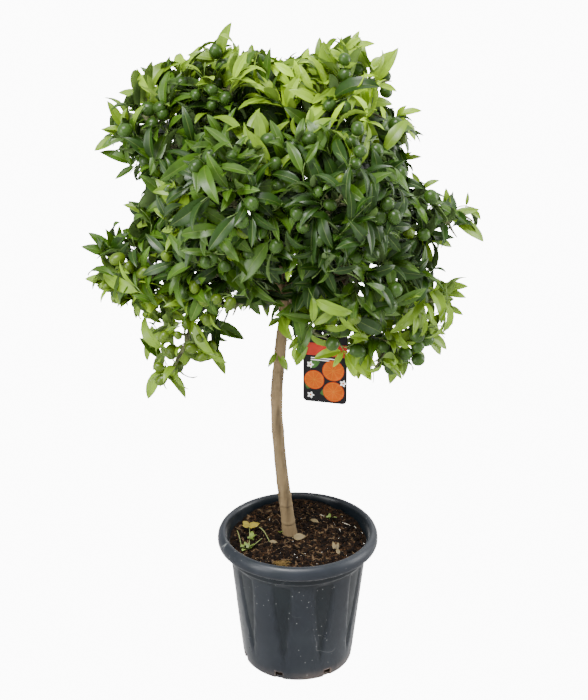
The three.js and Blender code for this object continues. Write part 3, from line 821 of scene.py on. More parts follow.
def mesh_object(name, points, loops, totals, slots, materials, smooth=True):
    """One object from arrays: points in metres, corner indices, corners per face, material per face."""
    mesh = bpy.data.meshes.new(name)
    mesh.vertices.add(len(points))
    mesh.vertices.foreach_set("co", np.asarray(points, np.float32).ravel())
    mesh.loops.add(len(loops))
    mesh.loops.foreach_set("vertex_index", np.asarray(loops, np.int32))
    mesh.polygons.add(len(totals))
    starts = np.concatenate(([0], np.cumsum(totals)[:-1]))
    mesh.polygons.foreach_set("loop_start", starts.astype(np.int32))
    mesh.polygons.foreach_set("loop_total", np.asarray(totals, np.int32))
    for material in materials:
        mesh.materials.append(material)
    mesh.polygons.foreach_set("material_index", np.asarray(slots, np.int32))
    mesh.polygons.foreach_set("use_smooth", np.full(len(totals), smooth))
    mesh.update(calc_edges=True)
    mesh.validate()
    thing = bpy.data.objects.new(name, mesh)
    bpy.context.scene.collection.objects.link(thing)
    return thing


def repeat_faces(faces, slots, count, per_copy):
    """Corner indices, corners per face and materials of many copies of one set of faces."""
    flat = np.concatenate([np.array(face) for face in faces])
    totals = np.array([len(face) for face in faces])
    shift = np.arange(count)[:, None] * per_copy
    return (flat[None, :] + shift).ravel(), np.tile(totals, count), np.tile(np.array(slots), count)


LEAF_ROWS = np.array([0.0, 0.09, 0.18, 0.32, 0.49, 0.66, 0.81, 0.92, 1.0])
LEAF_STALK = 0.09  # share of a leaf's length that is its stalk
LEAF_RING = 7  # corners round a leaf: two edges, two half-ways, two beside the rib, one below it
STALK_HALF = 0.55
TIP_HALF = 0.25
RIB_HALF = 0.45
RIB_DEPTH = 0.7
TOP, UNDER, RIB = range(3)  # the materials of a leaf


def leaf_faces():
    faces, slots = [], []
    last = len(LEAF_ROWS) - 1
    for r in range(last):
        for c in range(LEAF_RING):
            a, b = r * LEAF_RING + c, r * LEAF_RING + (c + 1) % LEAF_RING
            faces.append((a, a + LEAF_RING, b + LEAF_RING, b))
            slots.append(RIB if c == 2 else UNDER if c >= 5 else TOP)
    faces.append(tuple(range(LEAF_RING)))
    faces.append(tuple(reversed(range(last * LEAF_RING, (last + 1) * LEAF_RING))))
    return faces, slots + [RIB, TOP]


def leaf_points(rows):
    """All the corners of many leaves at once."""
    data = np.array(rows, float)
    root, way, face = (data[:, None, i : i + 3] for i in (0, 3, 6))
    length, width, bend, fold, twist, wave = (data[:, i, None] for i in range(9, 15))
    side = np.cross(way, face)
    side /= np.linalg.norm(side, axis=2)[..., None]
    u = LEAF_ROWS[None, :]
    blade = np.clip((u - LEAF_STALK) / (1 - LEAF_STALK), 0, 1)
    half = np.sin(np.pi * blade**0.82) ** 0.8 * 0.5
    half = np.maximum(half * width * length, STALK_HALF)
    half[:, -1] = TIP_HALF
    angle = -0.45 * bend + bend * u**1.2 * 1.15
    step = np.diff(u, axis=1)
    middle = (angle[:, 1:] + angle[:, :-1]) / 2
    start = np.zeros((len(data), 1))
    ahead = np.concatenate([start, np.cumsum(np.cos(middle) * step, 1)], 1) * length
    rise = np.concatenate([start, np.cumsum(-np.sin(middle) * step, 1)], 1) * length
    spine = root + way * ahead[..., None] + face * rise[..., None]
    normal = face * np.cos(angle)[..., None] + way * np.sin(angle)[..., None]
    roll = twist * (u - 0.3)
    across = side * np.cos(roll)[..., None] + normal * np.sin(roll)[..., None]
    normal = normal * np.cos(roll)[..., None] - side * np.sin(roll)[..., None]
    slope = np.tan(fold)
    in_blade = (blade > 0) & (blade < 1)
    ripples = [0.05 * np.sin(turn + wave) * in_blade for turn in (u * 14, u * 12.5 + 2)]
    edge = slope * 0.92 - 0.12
    beside_rib = np.full_like(half, -0.1)
    corners = [
        (-half, half * (edge + ripples[0])),
        (-0.52 * half, half * (slope * 0.56)),
        (np.maximum(-RIB_HALF, -0.4 * half), beside_rib),
        (np.minimum(RIB_HALF, 0.4 * half), beside_rib),
        (0.52 * half, half * (slope * 0.56)),
        (half, half * (edge + ripples[1])),
        (np.zeros_like(half), np.full_like(half, -RIB_DEPTH)),
    ]
    points = np.stack([spine + across * s[..., None] + normal * h[..., None] for s, h in corners], axis=2)
    return points.reshape(len(data), -1, 3)


def leaf_piece(name, rows, materials):
    faces, slots = leaf_faces()
    points = leaf_points(rows)
    per_copy = points.shape[1]
    loops, totals, face_slots = repeat_faces(faces, slots, len(rows), per_copy)
    return mesh_object(name, points.reshape(-1, 3) * MM, loops, totals, face_slots, materials)


def tube_rings(line, sides, steps, wobble, pick):
    """Rings of corners along a limb's line."""
    across = None
    rings = []
    for i in range(steps + 1):
        t = i / steps
        heading = line.tangent(t)
        hint = across if across is not None else (X_AXIS if abs(heading.z) > 0.9 else UP)
        across = square_to(heading, hint)
        third = heading.cross(across)
        radius = line.radius(t) * (1 + pick.uniform(-wobble, wobble))
        centre = line.point(t)
        for s in range(sides):
            turn = 2 * math.pi * s / sides
            rings.append(centre + (across * math.cos(turn) + third * math.sin(turn)) * radius)
    return rings


def tube_faces(sides, steps):
    faces = []
    for i in range(steps):
        for s in range(sides):
            a, b = i * sides + s, i * sides + (s + 1) % sides
            faces.append((a, b, b + sides, a + sides))
    faces.append(tuple(reversed(range(sides))))
    faces.append(tuple(range(steps * sides, (steps + 1) * sides)))
    return faces


def tubes_piece(name, lines, sides, steps, material, wobble=0.0):
    """One piece of many limbs; wobble is how unevenly thick they are."""
    pick = random.Random(5)
    points = []
    for line in lines:
        points.extend(tube_rings(line, sides, steps, wobble, pick))
    faces = tube_faces(sides, steps)
    loops, totals, slots = repeat_faces(faces, [0] * len(faces), len(lines), sides * (steps + 1))
    coords = np.array([tuple(p) for p in points]) * MM
    return mesh_object(name, coords, loops, totals, slots, [material])


# ---------- Modelling by hand ----------


def deselect():
    if bpy.context.object and bpy.context.object.mode != "OBJECT":
        bpy.ops.object.mode_set(mode="OBJECT")
    bpy.ops.object.select_all(action="DESELECT")


def make_active(piece):
    deselect()
    piece.select_set(True)
    bpy.context.view_layer.objects.active = piece


def finish_piece(piece, name, slot, *nodes, angle=0, material=None):
    """Places a piece in its mesh, smooths it, and gives it its looks and its place in the model."""
    make_active(piece)
    bpy.ops.object.transform_apply(location=True, rotation=True, scale=True)
    if angle:
        bpy.ops.object.shade_smooth_by_angle(angle=math.radians(angle))
    piece.name = name
    piece.data.name = name
    if material:
        piece.data.materials.clear()
        piece.data.materials.append(material)
    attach(piece, "root")
    if nodes:
        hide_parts(*nodes)


def join(pieces):
    deselect()
    for piece in pieces:
        piece.select_set(True)
    bpy.context.view_layer.objects.active = pieces[0]
    bpy.ops.object.join()
    return bpy.context.object


def face_outwards(piece):
    make_active(piece)
    bpy.ops.object.mode_set(mode="EDIT")
    bpy.ops.mesh.select_all(action="SELECT")
    bpy.ops.mesh.normals_make_consistent(inside=False)
    bpy.ops.object.mode_set(mode="OBJECT")


def block(place, turn, sizes):
    """A plain block: its middle, its turn about the upright and its sizes."""
    deselect()
    bpy.ops.mesh.primitive_cube_add(
        size=1, location=[c * MM for c in place], rotation=(0, 0, turn), scale=[size * MM for size in sizes]
    )
    return bpy.context.object


def cut_away(piece, cutter):
    make_active(piece)
    cut = piece.modifiers.new("cut", "BOOLEAN")
    cut.operation = "DIFFERENCE"
    cut.solver = "EXACT"
    cut.object = cutter
    bpy.ops.object.modifier_apply(modifier=cut.name)
    bpy.data.objects.remove(cutter)


def turned(outline, segments):
    """A turned body: a disc at the outline's first point, drawn out ring by ring, closed at its last."""
    deselect()
    radius, height = outline[0]
    bpy.ops.mesh.primitive_circle_add(
        vertices=segments, radius=radius * MM, fill_type="NGON", location=(0, 0, height * MM)
    )
    piece = bpy.context.object
    bpy.ops.object.transform_apply(location=True, rotation=True, scale=True)
    bpy.ops.object.mode_set(mode="EDIT")
    bpy.ops.mesh.select_all(action="SELECT")
    bpy.ops.mesh.delete(type="ONLY_FACE")
    bpy.ops.mesh.select_all(action="SELECT")
    for next_radius, next_height in outline[1:]:
        upwards = (0, 0, (next_height - height) * MM)
        bpy.ops.mesh.extrude_region_move(TRANSFORM_OT_translate={"value": upwards})
        ratio = next_radius / radius
        centre = (0, 0, next_height * MM)
        bpy.ops.transform.resize(value=(ratio, ratio, 1), center_override=centre)
        radius, height = next_radius, next_height
    bpy.ops.mesh.edge_face_add()
    bpy.ops.mesh.select_all(action="DESELECT")
    bpy.ops.object.mode_set(mode="OBJECT")
    for vertex in piece.data.vertices:
        vertex.select = vertex.index < segments
    bpy.ops.object.mode_set(mode="EDIT")
    bpy.ops.mesh.select_mode(type="VERT")
    bpy.ops.mesh.edge_face_add()
    face_outwards(piece)
    return piece


def inside_radius(z):
    share = (z - POT_FLOOR) / (POT_HEIGHT - RIM_DEPTH - POT_FLOOR)
    return lerp(POT_FOOT - POT_WALL, POT_COLLAR - POT_WALL - 1, share)


# ---------- Pot ----------


NOTCHES = 3  # shallow moulded notches in the collar
NOTCH_TURN = -104.5
NOTCH_HALF = 4.4
NOTCH_DEPTH = 2.6
FLUTE_TURN = 4.5
FLUTE_HALF = 9  # half the width of a flute's arched top, in degrees
FLUTE_TOP = 200
FLUTE_ARCH = 6
POT_SEGMENTS = 160


def pot_outline():
    points = [(60, 1.2), (84, 1.2), (86, 0), (94.5, 0), (96.6, 0.9), (97.3, 3)]
    for i in range(1, 27):
        z = lerp(3, SHOULDER_HEIGHT - 3, i / 26)
        points.append((lerp(97.3, POT_SHOULDER, z / SHOULDER_HEIGHT), z))
    collar = [(-3.7, 206.4), (-2.9, 208), (-1.2, 208.8), (-0.3, 210), (-0.1, 213), (0, 219), (0.2, 223)]
    points += [(POT_COLLAR + out, z) for out, z in collar]
    points += [(124.5, 225), (127, 225.8), (133, 226), (136.5, 226.6), (138.8, 228.4), (139.8, 231.5)]
    points += [(POT_RIM, 236), (139.4, 241), (137.6, 245.4), (134.6, 248.6), (131, POT_HEIGHT)]
    points += [(128.4, 249.6), (126.4, 248), (125.2, 245), (124.6, 240), (124.2, 233), (122.6, 228.6)]
    points.append((120.4, 226))
    for z in (205, 170, 130, 90, 50, 20, 6):
        points.append((inside_radius(z), z))
    points += [(92.5, POT_FLOOR + 0.4), (60, POT_FLOOR)]
    return points


def off_a_flute(x, y):
    """Degrees from a place to the middle of the nearest flute."""
    step = 360 / FLUTES
    away = abs(math.degrees(math.atan2(y, x)) % step - FLUTE_TURN)
    return min(away, step - away)


def flute_share(away, z):
    """How much of its full depth a flute has: 0 on the ribs, at its foot and above its arched top."""
    top = FLUTE_TOP + FLUTE_ARCH * math.sqrt(max(0.0, 1 - (away / FLUTE_HALF) ** 2))
    width = lerp(1.5, 9.5, smooth_step(20, 190, z))
    across = 1 - smooth_step(width * 0.8, width, away)
    return across * smooth_step(24, 60, z) * (1 - smooth_step(top - 5, top, z))


def draw_flutes(pot):
    for vertex in pot.data.vertices:
        x, y, z = (c / MM for c in vertex.co)
        radius = math.hypot(x, y)
        if radius < inside_radius(z) + 1 or not 14 < z < 207.5:
            continue
        away = off_a_flute(x, y)
        flat = (radius - FLUTE_DEPTH) / math.cos(math.radians(away))
        drawn = (radius - flat + 0.9) * flute_share(away, z)
        vertex.co.x *= (radius - drawn) / radius
        vertex.co.y *= (radius - drawn) / radius


def press_notches(pot):
    for vertex in pot.data.vertices:
        x, y, z = (c / MM for c in vertex.co)
        turn = math.degrees(math.atan2(y, x)) - NOTCH_TURN
        away = abs((turn + 180 / NOTCHES) % (360 / NOTCHES) - 180 / NOTCHES)
        if math.hypot(x, y) > POT_COLLAR - 1 and 211 < z < 221 and away < NOTCH_HALF:
            vertex.co.x *= 1 - NOTCH_DEPTH / POT_COLLAR
            vertex.co.y *= 1 - NOTCH_DEPTH / POT_COLLAR


def make_pot():
    pot = turned(pot_outline(), POT_SEGMENTS)
    draw_flutes(pot)
    press_notches(pot)
    cutters = []
    for i in range(DRAINS):
        turn = DRAIN_TURN + 2 * math.pi * i / DRAINS
        place = (DRAIN_PLACE * math.cos(turn), DRAIN_PLACE * math.sin(turn), DRAIN_HEIGHT / 2 - 1)
        cutters.append(block(place, turn, (14, DRAIN_WIDTH, DRAIN_HEIGHT + 2)))
    cut_away(pot, join(cutters))
    wear_and_painted_sheen_pot(pot)
    finish_piece(pot, "nursery_pot", "pot", "pot", angle=35, material=pot_plastic())


def by_a_drain(x, y, z):
    if z > DRAIN_HEIGHT + 1 or math.hypot(x, y) < POT_FOOT - 2:
        return False
    step = 2 * math.pi / DRAINS
    off = (math.atan2(y, x) - DRAIN_TURN + step / 2) % step - step / 2
    return abs(off) * POT_FOOT < DRAIN_WIDTH / 2 + 1


def wear_and_painted_sheen_pot(pot):
    """Dust on the rolled rim, a painted sheen on the ribs and painted shade in the flutes and from the
    collar up, and dirt round the drains and on the foot, more on one side.
    """
    dust = pot.data.attributes.new("dust", "FLOAT", "POINT")
    dirt = pot.data.attributes.new("dirt", "FLOAT", "POINT")
    rubbed = pot.data.attributes.new("rubbed", "FLOAT", "POINT")
    for vertex in pot.data.vertices:
        x, y, z = vertex.co / MM
        radius = math.hypot(x, y)
        dust.data[vertex.index].value = smooth_step(225, 229, z) * smooth_step(123, 130, radius)
        # painted light: 1 on the ribs and the foot for a painted sheen, 0 in the flutes and from the collar
        # up for painted shade
        rubbed.data[vertex.index].value = (1 - flute_share(off_a_flute(x, y), z)) * smooth_step(206, 198, z)
        side = 0.25 + 0.75 * clamp((0.8 * x - 0.6 * y) / radius)
        foot = 0.7 * side * smooth_step(22, 3, z)
        dirt.data[vertex.index].value = 1.0 if by_a_drain(x, y, z) else foot


def amount_of(material, name):
    """The amount of wear, or of painted sheen and shade, of that name at the corners."""
    amount = material.node_tree.nodes.new("ShaderNodeAttribute")
    amount.attribute_name = name
    return amount.outputs["Fac"]


def worn(material, name, patches):
    """How strongly the wear of that name shows: its amount, broken up by a pattern."""
    tree = material.node_tree
    both = tree.nodes.new("ShaderNodeMath")
    both.operation = "MULTIPLY"
    tree.links.new(amount_of(material, name), both.inputs[0])
    tree.links.new(patches, both.inputs[1])
    return both.outputs["Value"]


def pot_plastic():
    black, white = (0, 0, 0), (1, 1, 1)
    sheen = {"Sheen_Weight": 0.25, "Sheen_Roughness": 0.28}
    material = new_material("pot_plastic", (0.008, 0.011, 0.015), 0.34, Specular_IOR_Level=0.42, **sheen)
    cloud = pattern(material, scale=9, detail=4)
    # painted light: the ribs take a lighter tone as a painted sheen, the flutes and the collar a darker one
    # as painted shade
    flute_shade_tones = [(0.3, (0.002, 0.004, 0.006)), (0.75, (0.006, 0.010, 0.013))]
    rib_sheen_tones = [(0.3, (0.005, 0.007, 0.011)), (0.75, (0.013, 0.017, 0.022))]
    flute_shade = ramp(material, cloud.outputs["Fac"], flute_shade_tones)
    rib = ramp(material, cloud.outputs["Fac"], rib_sheen_tones)
    plain = mix_colour(material, amount_of(material, "rubbed"), flute_shade, rib)
    smears = pattern(material, scale=24, stretch=(1, 1, 0.4), detail=5)
    film = ramp(material, smears.outputs["Fac"], [(0.35, (0.35, 0.35, 0.35)), (0.7, white)])
    dusty = mix_colour(material, worn(material, "dust", film), plain, (0.011, 0.014, 0.021))
    soiled = ramp(material, smears.outputs["Fac"], [(0.4, (0.2, 0.2, 0.2)), (0.65, white)])
    dirty = mix_colour(material, worn(material, "dirt", soiled), dusty, (0.145, 0.105, 0.080))
    sparse = pattern(material, scale=11, detail=1)
    where = ramp(material, sparse.outputs["Fac"], [(0.50, black), (0.56, white)])
    specks = pattern(material, "ShaderNodeTexVoronoi", scale=105)
    dots = ramp(material, specks.outputs["Distance"], [(0.05, (0.7, 0.7, 0.7)), (0.11, black)])
    spotted = mix_colour(material, 1.0, dots, where, "MULTIPLY")
    lines = pattern(material, scale=20, detail=0.5)
    hairs = ramp(material, lines.outputs["Fac"], [(0.496, black), (0.5, (0.4, 0.4, 0.4)), (0.504, black)])
    few = pattern(material, scale=13, detail=0)
    rare = ramp(material, few.outputs["Fac"], [(0.66, black), (0.69, white)])
    scratched = mix_colour(material, 1.0, hairs, rare, "MULTIPLY")
    marks = mix_colour(material, 1.0, spotted, scratched, "ADD")
    set_colour(material, mix_colour(material, marks, dirty, (0.30, 0.31, 0.30)))
    grain = pattern(material, scale=60)
    dull = mix_colour(material, worn(material, "dust", film), grain.outputs["Fac"], white)
    set_roughness(material, dull, 0.19, 0.5)
    set_bump(material, grain.outputs["Fac"], 0.08, 0.0006)
    return material


# ---------- Compost ----------


def off_the_trunk(x, y):
    """How far a place on the compost is from the middle of the trunk's foot."""
    foot_x, foot_y, _ = TRUNK_PLACES[0]
    return math.hypot(x - foot_x, y - foot_y)


def soil_height(x, y):
    rough = noise.fractal(Vector((x, y, 3.0)) * 0.045, 1.0, 2.0, 4)
    fine = noise.noise(Vector((x, y, 9.0)) * 0.22)
    radius = max(1.0, math.hypot(x, y))
    bank = SOIL_BANK * max(0.0, y) ** 2 / (radius * inside_radius(SOIL_LEVEL))
    return SOIL_LEVEL + bank + (3.6 * rough + 1.8 * fine) * smooth_step(12, 30, off_the_trunk(x, y)) + 0.6


def make_soil():
    edge = inside_radius(SOIL_LEVEL) - CLEARANCE - 0.3
    outline = [(40, POT_FLOOR + 0.5), (inside_radius(POT_FLOOR + 0.5) - 0.8, POT_FLOOR + 0.5)]
    outline += [(inside_radius(z) - 0.8, z) for z in (60, 130, 190, SOIL_LEVEL - 6)]
    rings = 44
    outline += [(edge * (1 - i / rings) + 0.6, SOIL_LEVEL) for i in range(rings)]
    soil = turned(outline, 150)
    for vertex in soil.data.vertices:
        if vertex.co.z > (SOIL_LEVEL - 1) * MM:  # the top
            x, y = vertex.co.x / MM, vertex.co.y / MM
            vertex.co.z = soil_height(x, y) * MM
    peat = mottled("peat", (0.011, 0.0062, 0.0036), 0.95, 60, 0.5, bump=0.9, depth=0.003, specular=0.1)
    finish_piece(soil, "compost", "soil", "soil", material=peat)


def base_shape(maker, **options):
    """Corners and faces of one small shape, to be repeated."""
    deselect()
    maker(**options)
    piece = bpy.context.object
    bpy.ops.object.transform_apply(location=True, rotation=True, scale=True)
    points = np.array([tuple(v.co) for v in piece.data.vertices])
    faces = [tuple(p.vertices) for p in piece.data.polygons]
    mesh = piece.data
    bpy.data.objects.remove(piece)
    bpy.data.meshes.remove(mesh)
    return points, faces


def scattered(name, points, faces, places, material, smooth=False):
    """Copies of one shape: each place is (centre, turn matrix, sizes)."""
    copies = []
    for centre, turn, sizes in places:
        copies.append((points * np.array(sizes)) @ np.array(turn).T + np.array(tuple(centre)))
    loops, totals, slots = repeat_faces(faces, [0] * len(faces), len(places), len(points))
    return mesh_object(name, np.concatenate(copies) * MM, loops, totals, slots, [material], smooth)


def lying_turn(pick, tumble):
    """Any heading on the ground, tipped at random by up to about tumble radians."""
    tip = Matrix.Rotation(pick.gauss(0, tumble / 2), 3, any_way(pick))
    return tip @ Matrix.Rotation(pick.uniform(0, 2 * math.pi), 3, "Z")


def soil_places(count, pick, low, high, sink, shape=(1, 1, 1), tumble=3.0):
    """Places on the compost, more of the small ones, clear of the trunk's foot."""
    places = []
    edge = inside_radius(SOIL_LEVEL) - 1.5
    while len(places) < count:
        size = lerp(low, high, pick.random() ** 2.2)
        radius = math.sqrt(pick.random()) * (edge - size * max(shape))
        turn = pick.uniform(0, 2 * math.pi)
        x, y = radius * math.cos(turn), radius * math.sin(turn)
        if off_the_trunk(x, y) < 15 + size:
            continue
        sizes = [size * part * pick.uniform(0.7, 1.2) for part in shape]
        centre = vec(x, y, soil_height(x, y) + size * sink)
        places.append((centre, lying_turn(pick, tumble), sizes))
    return places


CRUMBS = [  # name, colour, how many, smallest and largest, shape, how far they tip
    ("peat_crumbs", (0.005, 0.003, 0.002), 1900, 0.8, 5.2, (1.1, 0.9, 0.7), 3.0),
    ("brown_crumbs", (0.020, 0.0105, 0.005), 1900, 0.8, 3.4, (1.2, 0.8, 0.6), 3.0),
    ("rust_crumbs", (0.046, 0.022, 0.009), 700, 0.7, 2.6, (1.3, 0.8, 0.6), 3.0),
    ("bark_chips", (0.085, 0.054, 0.028), 420, 1.2, 3.6, (2.3, 0.7, 0.32), 0.8),
]


def make_crumbs():
    pick = random.Random(21)
    points, faces = base_shape(bpy.ops.mesh.primitive_ico_sphere_add, subdivisions=1, radius=1)
    points = points * np.array([[1 + 0.34 * math.sin(5 * i)] for i in range(len(points))])
    for name, colour, count, low, high, shape, tumble in CRUMBS:
        material = mottled(name + "_stuff", colour, 0.95, 120, 0.4, bump=0.6, depth=0.001, specular=0.1)
        places = soil_places(count, pick, low, high, 0.25, shape, tumble)
        finish_piece(scattered(name, points, faces, places, material), name, "soil")
    white = mottled("perlite_white", (0.50, 0.48, 0.43), 0.85, 200, 0.12)
    grains = []
    for place in soil_places(95, pick, 0.7, 1.7, 0.5):
        if place[0].x - 0.5 * place[0].y > -10 or pick.random() < 0.15:
            grains.append(place)
    perlite = scattered("perlite", points, faces, grains, white)
    finish_piece(perlite, "perlite_specks", "perlite")


def lying_stalks(count, pick, shortest, longest, thickest):
    """Stalks that lie on the compost, each bowed up a little."""
    lines = []
    edge = inside_radius(SOIL_LEVEL) - 2
    for centre, _, _ in soil_places(count, pick, 1.0, 2.0, 0.3):
        turn = pick.uniform(0, 2 * math.pi)
        half = pick.uniform(shortest, longest) / 2
        way = vec(math.cos(turn), math.sin(turn), pick.uniform(-0.1, 0.25))
        start, end = centre - way * half, centre + way * half
        if max(math.hypot(start.x, start.y), math.hypot(end.x, end.y)) > edge:
            continue
        start.z = max(start.z, soil_height(start.x, start.y) + 0.3)
        end.z = max(end.z, soil_height(end.x, end.y) + 0.3)
        bend = (start + end) / 2 + way.cross(UP) * pick.uniform(-3, 3) + UP * pick.uniform(0.5, 3)
        lines.append(Arc(start, bend, end, pick.uniform(0.25, thickest), 0.2))
    return lines


COIR_PLACE = vec(-27, -84, 0)
PALE_STRAWS = [((80, 52), (94, 40)), ((98, 42), (104, 36)), ((74, 34), (76, 22)), ((40, 74), (48, 68))]


def make_stalks():
    """Dry stalks and root fibres on the compost."""
    pick = random.Random(33)
    straw = mottled("dry_stalk", (0.17, 0.112, 0.055), 0.85, 90, 0.3)
    stalks = tubes_piece("dry_stalks", lying_stalks(150, pick, 5, 20, 0.55), 5, 3, straw)
    finish_piece(stalks, "dry_stalks", "litter")
    root = mottled("root_fibre", (0.050, 0.024, 0.011), 0.9, 90, 0.4, specular=0.2)
    fibres = tubes_piece("root_fibres", lying_stalks(520, pick, 5, 22, 0.5), 4, 3, root)
    finish_piece(fibres, "root_fibres", "litter")
    make_coir(pick)


def make_coir(pick):
    """A tuft of coir."""
    tuft = []
    for _ in range(110):
        start = COIR_PLACE + vec(pick.gauss(0, 7), pick.gauss(0, 5), 0)
        end = COIR_PLACE + vec(pick.gauss(0, 9), pick.gauss(0, 6), 0)
        start.z = soil_height(start.x, start.y)
        end.z = soil_height(end.x, end.y) + pick.uniform(0, 4)
        tuft.append(Arc(start, (start + end) / 2 + UP * pick.uniform(3, 11), end, 0.4, 0.25))
    coir = mottled("coir_fibre", (0.135, 0.085, 0.026), 0.9, 120, 0.3, specular=0.2)
    finish_piece(tubes_piece("coir_tuft", tuft, 4, 4, coir), "coir_tuft", "litter")


def make_pale_straws():
    pale = []
    for (x, y), (end_x, end_y) in PALE_STRAWS:
        start = vec(x, y, soil_height(x, y) + 1.5)
        end = vec(end_x, end_y, soil_height(end_x, end_y) + 2.5)
        pale.append(Arc(start, (start + end) / 2 + UP, end, 1.0, 0.7))
    bleached = mottled("bleached_straw", (0.42, 0.38, 0.30), 0.8, 90, 0.2)
    finish_piece(tubes_piece("pale_straws", pale, 6, 3, bleached), "pale_straws", "litter")


# Leaves on the compost: across, back, heading, length, width, tilt, bend, fold, lift, turn to the front.
DRY_LEAVES = [
    (-10, 1, -0.15, 25, 0.5, 0.2, 0.6, 0.2, 5, 1.2),
    (-52, -8, -0.3, 18, 0.4, 0.1, 0.3, 0.2, 2.5, 0.8),
    (38, 46, 2.7, 18, 0.42, 0.1, 0.5, 0.3, 2.5, 0.4),
    (72, -52, 2.0, 14, 0.5, 0.4, 1.0, 0.3, 1, 1.0),
]
DRY_TUFT = [(1.25, 19), (1.62, 15), (1.95, 21)]  # heading and length
DRY_LEAVES += [(66, -42, turn, length, 0.3, 0.9, 0.9, 0.2, 1, 3.0) for turn, length in DRY_TUFT]
YELLOW_LOBES = [(0.1, 19), (0.9, 14), (2.4, 17), (3.3, 13), (-0.7, 14)]
SEEDLINGS = [  # across, back, number of leaves and their length
    (-86, -34, 10, 15),
    (-80, -8, 5, 16),
    (62, 62, 3, 14),
    (-28, 18, 3, 8),
]
SEEDLING_STALKS = [  # foot, bend and end, each across, back and above the compost, and both radii
    ((-84, -26, 0), (-84, -4, 10), (-85, 20, 16), 0.8, 0.5),
    ((-68, 18, 16), (-58, 12, 15), (-48, -12, 0), 0.8, 0.7),
    ((-98, -22, 0), (-102, -4, 12), (-106, 6, 16), 0.9, 0.6),
    ((-84, -30, 0), (-72, -26, 10), (-62, -14, 12), 0.8, 0.5),
]


def lying_leaf(x, y, turn, length, width, tilt, bend, fold, lift, facing=0.0):
    way = vec(math.cos(turn), math.sin(turn), tilt).normalized()
    face = square_to(way, vec(0, -facing, 1))
    root = vec(x, y, soil_height(x, y) + lift)
    return (*root, *way, *face, length, width, bend, fold, 0.3, turn, 0)


def low_leaves(name, slot, rows, material):
    """A piece of small leaves in one colour all over."""
    finish_piece(leaf_piece(name, rows, [material] * 3), name, slot, angle=60)


def make_dry_leaves():
    tan = mottled("dry_leaf", (0.125, 0.092, 0.037), 0.7, 70, 0.25)
    low_leaves("dry_leaves", "litter", [lying_leaf(*leaf) for leaf in DRY_LEAVES], tan)


def make_seedlings():
    """The seedlings that have come up in the compost."""
    pick = random.Random(8)
    rows = []
    for x, y, count, size in SEEDLINGS:
        for i in range(count):
            place = (x + pick.uniform(-5, 5), y + pick.uniform(-4, 4))
            length = size * pick.uniform(0.8, 1.2)
            tilt = pick.uniform(0.3, 0.9)
            rows.append(lying_leaf(*place, i * GOLDEN_ANGLE + x, length, 0.42, tilt, 0.7, 0.25, 3))
    green = mottled("seedling_green", (0.105, 0.155, 0.018), 0.55, 70, 0.25)
    low_leaves("seedlings", "weed", rows, green)
    yellow = mottled("yellowing_leaf", (0.19, 0.145, 0.006), 0.6, 60, 0.3)
    lobes = []
    for turn, length in YELLOW_LOBES:
        lobes.append(lying_leaf(-85, 20, turn, length, 0.62, 0.3, 0.3, 0.1, 15, 0.5))
    low_leaves("yellowing_leaf", "weed", lobes, yellow)
    lines = []
    for *points, thick, thin in SEEDLING_STALKS:
        lines.append(Arc(*(vec(x, y, SOIL_LEVEL + above) for x, y, above in points), thick, thin))
    stalk_green = mottled("seedling_stalk", (0.16, 0.19, 0.055), 0.6, 90, 0.15)
    finish_piece(tubes_piece("seedling_stalks", lines, 6, 6, stalk_green), "seedling_stalks", "weed")


# ---------- Trunk and boughs ----------


def limb_mesh(line, steps, sides, name):
    """A limb drawn as a path with its own radius at each point, then made a mesh."""
    deselect()
    bpy.ops.curve.primitive_bezier_curve_add(location=(0, 0, 0))
    path = bpy.context.object
    data = path.data
    data.splines.clear()
    spline = data.splines.new("POLY")
    spline.points.add(steps)
    for i, point in enumerate(spline.points):
        t = i / steps
        point.co = (*(line.point(t) * MM), 1)
        point.radius = line.radius(t)
    data.dimensions = "3D"
    data.bevel_depth = MM
    data.bevel_resolution = sides // 2 - 2
    data.use_fill_caps = True
    bpy.ops.object.convert(target="MESH")
    limb = bpy.context.object
    limb.name = name
    return limb


# Rings round the stem: height and how far each stands out.
TRUNK_RINGS = [(249, 1.0), (284, 0.8), (303, 0.6), (352, 0.3), (428, 0.6), (497, 0.6), (540, 0.4)]


def bark_relief(piece, amount, rings=()):
    """Long shallow cracks, low knobs and old scars, pushed out of or into the bark."""
    mesh = piece.data
    for vertex in mesh.vertices:
        place = vertex.co / MM
        long = noise.fractal(vec(place.x * 0.16, place.y * 0.16, place.z * 0.03), 1.0, 2.0, 3)
        knob = noise.noise(vec(place.x * 0.05, place.y * 0.05, place.z * 0.035 + 40))
        ripple = math.sin(place.z * 0.42 + 2.5 * noise.noise(place * 0.03))
        scar = 0.35 * max(0.0, ripple) ** 14
        for height, strength in rings:
            above = place.z - height - 3 * noise.noise(place * 0.06)
            ridge = 1.0 * math.exp(-((above - 3) / 4) ** 2) - 0.9 * math.exp(-((above / 1.3) ** 2))
            scar += strength * ridge * (1 + noise.noise(vec(place.x, place.y, height) * 0.08))
        push = amount * (0.35 * long + 0.95 * knob + scar)
        vertex.co += vertex.normal * (push * MM)


def ring_groove_shade(material, rings):
    """Painted shade: thin darker bands in the grooves of the two lowest rings."""
    tree = material.node_tree
    place = tree.nodes.new("ShaderNodeTexCoord")
    height = tree.nodes.new("ShaderNodeSeparateXYZ")
    tree.links.new(place.outputs["Object"], height.inputs["Vector"])
    stops = []
    for ring, _ in rings[:2]:
        stops += [((ring - 2) * MM, (0, 0, 0)), (ring * MM, (0.4, 0.4, 0.4)), ((ring + 2) * MM, (0, 0, 0))]
    return ramp(material, height.outputs["Z"], stops)


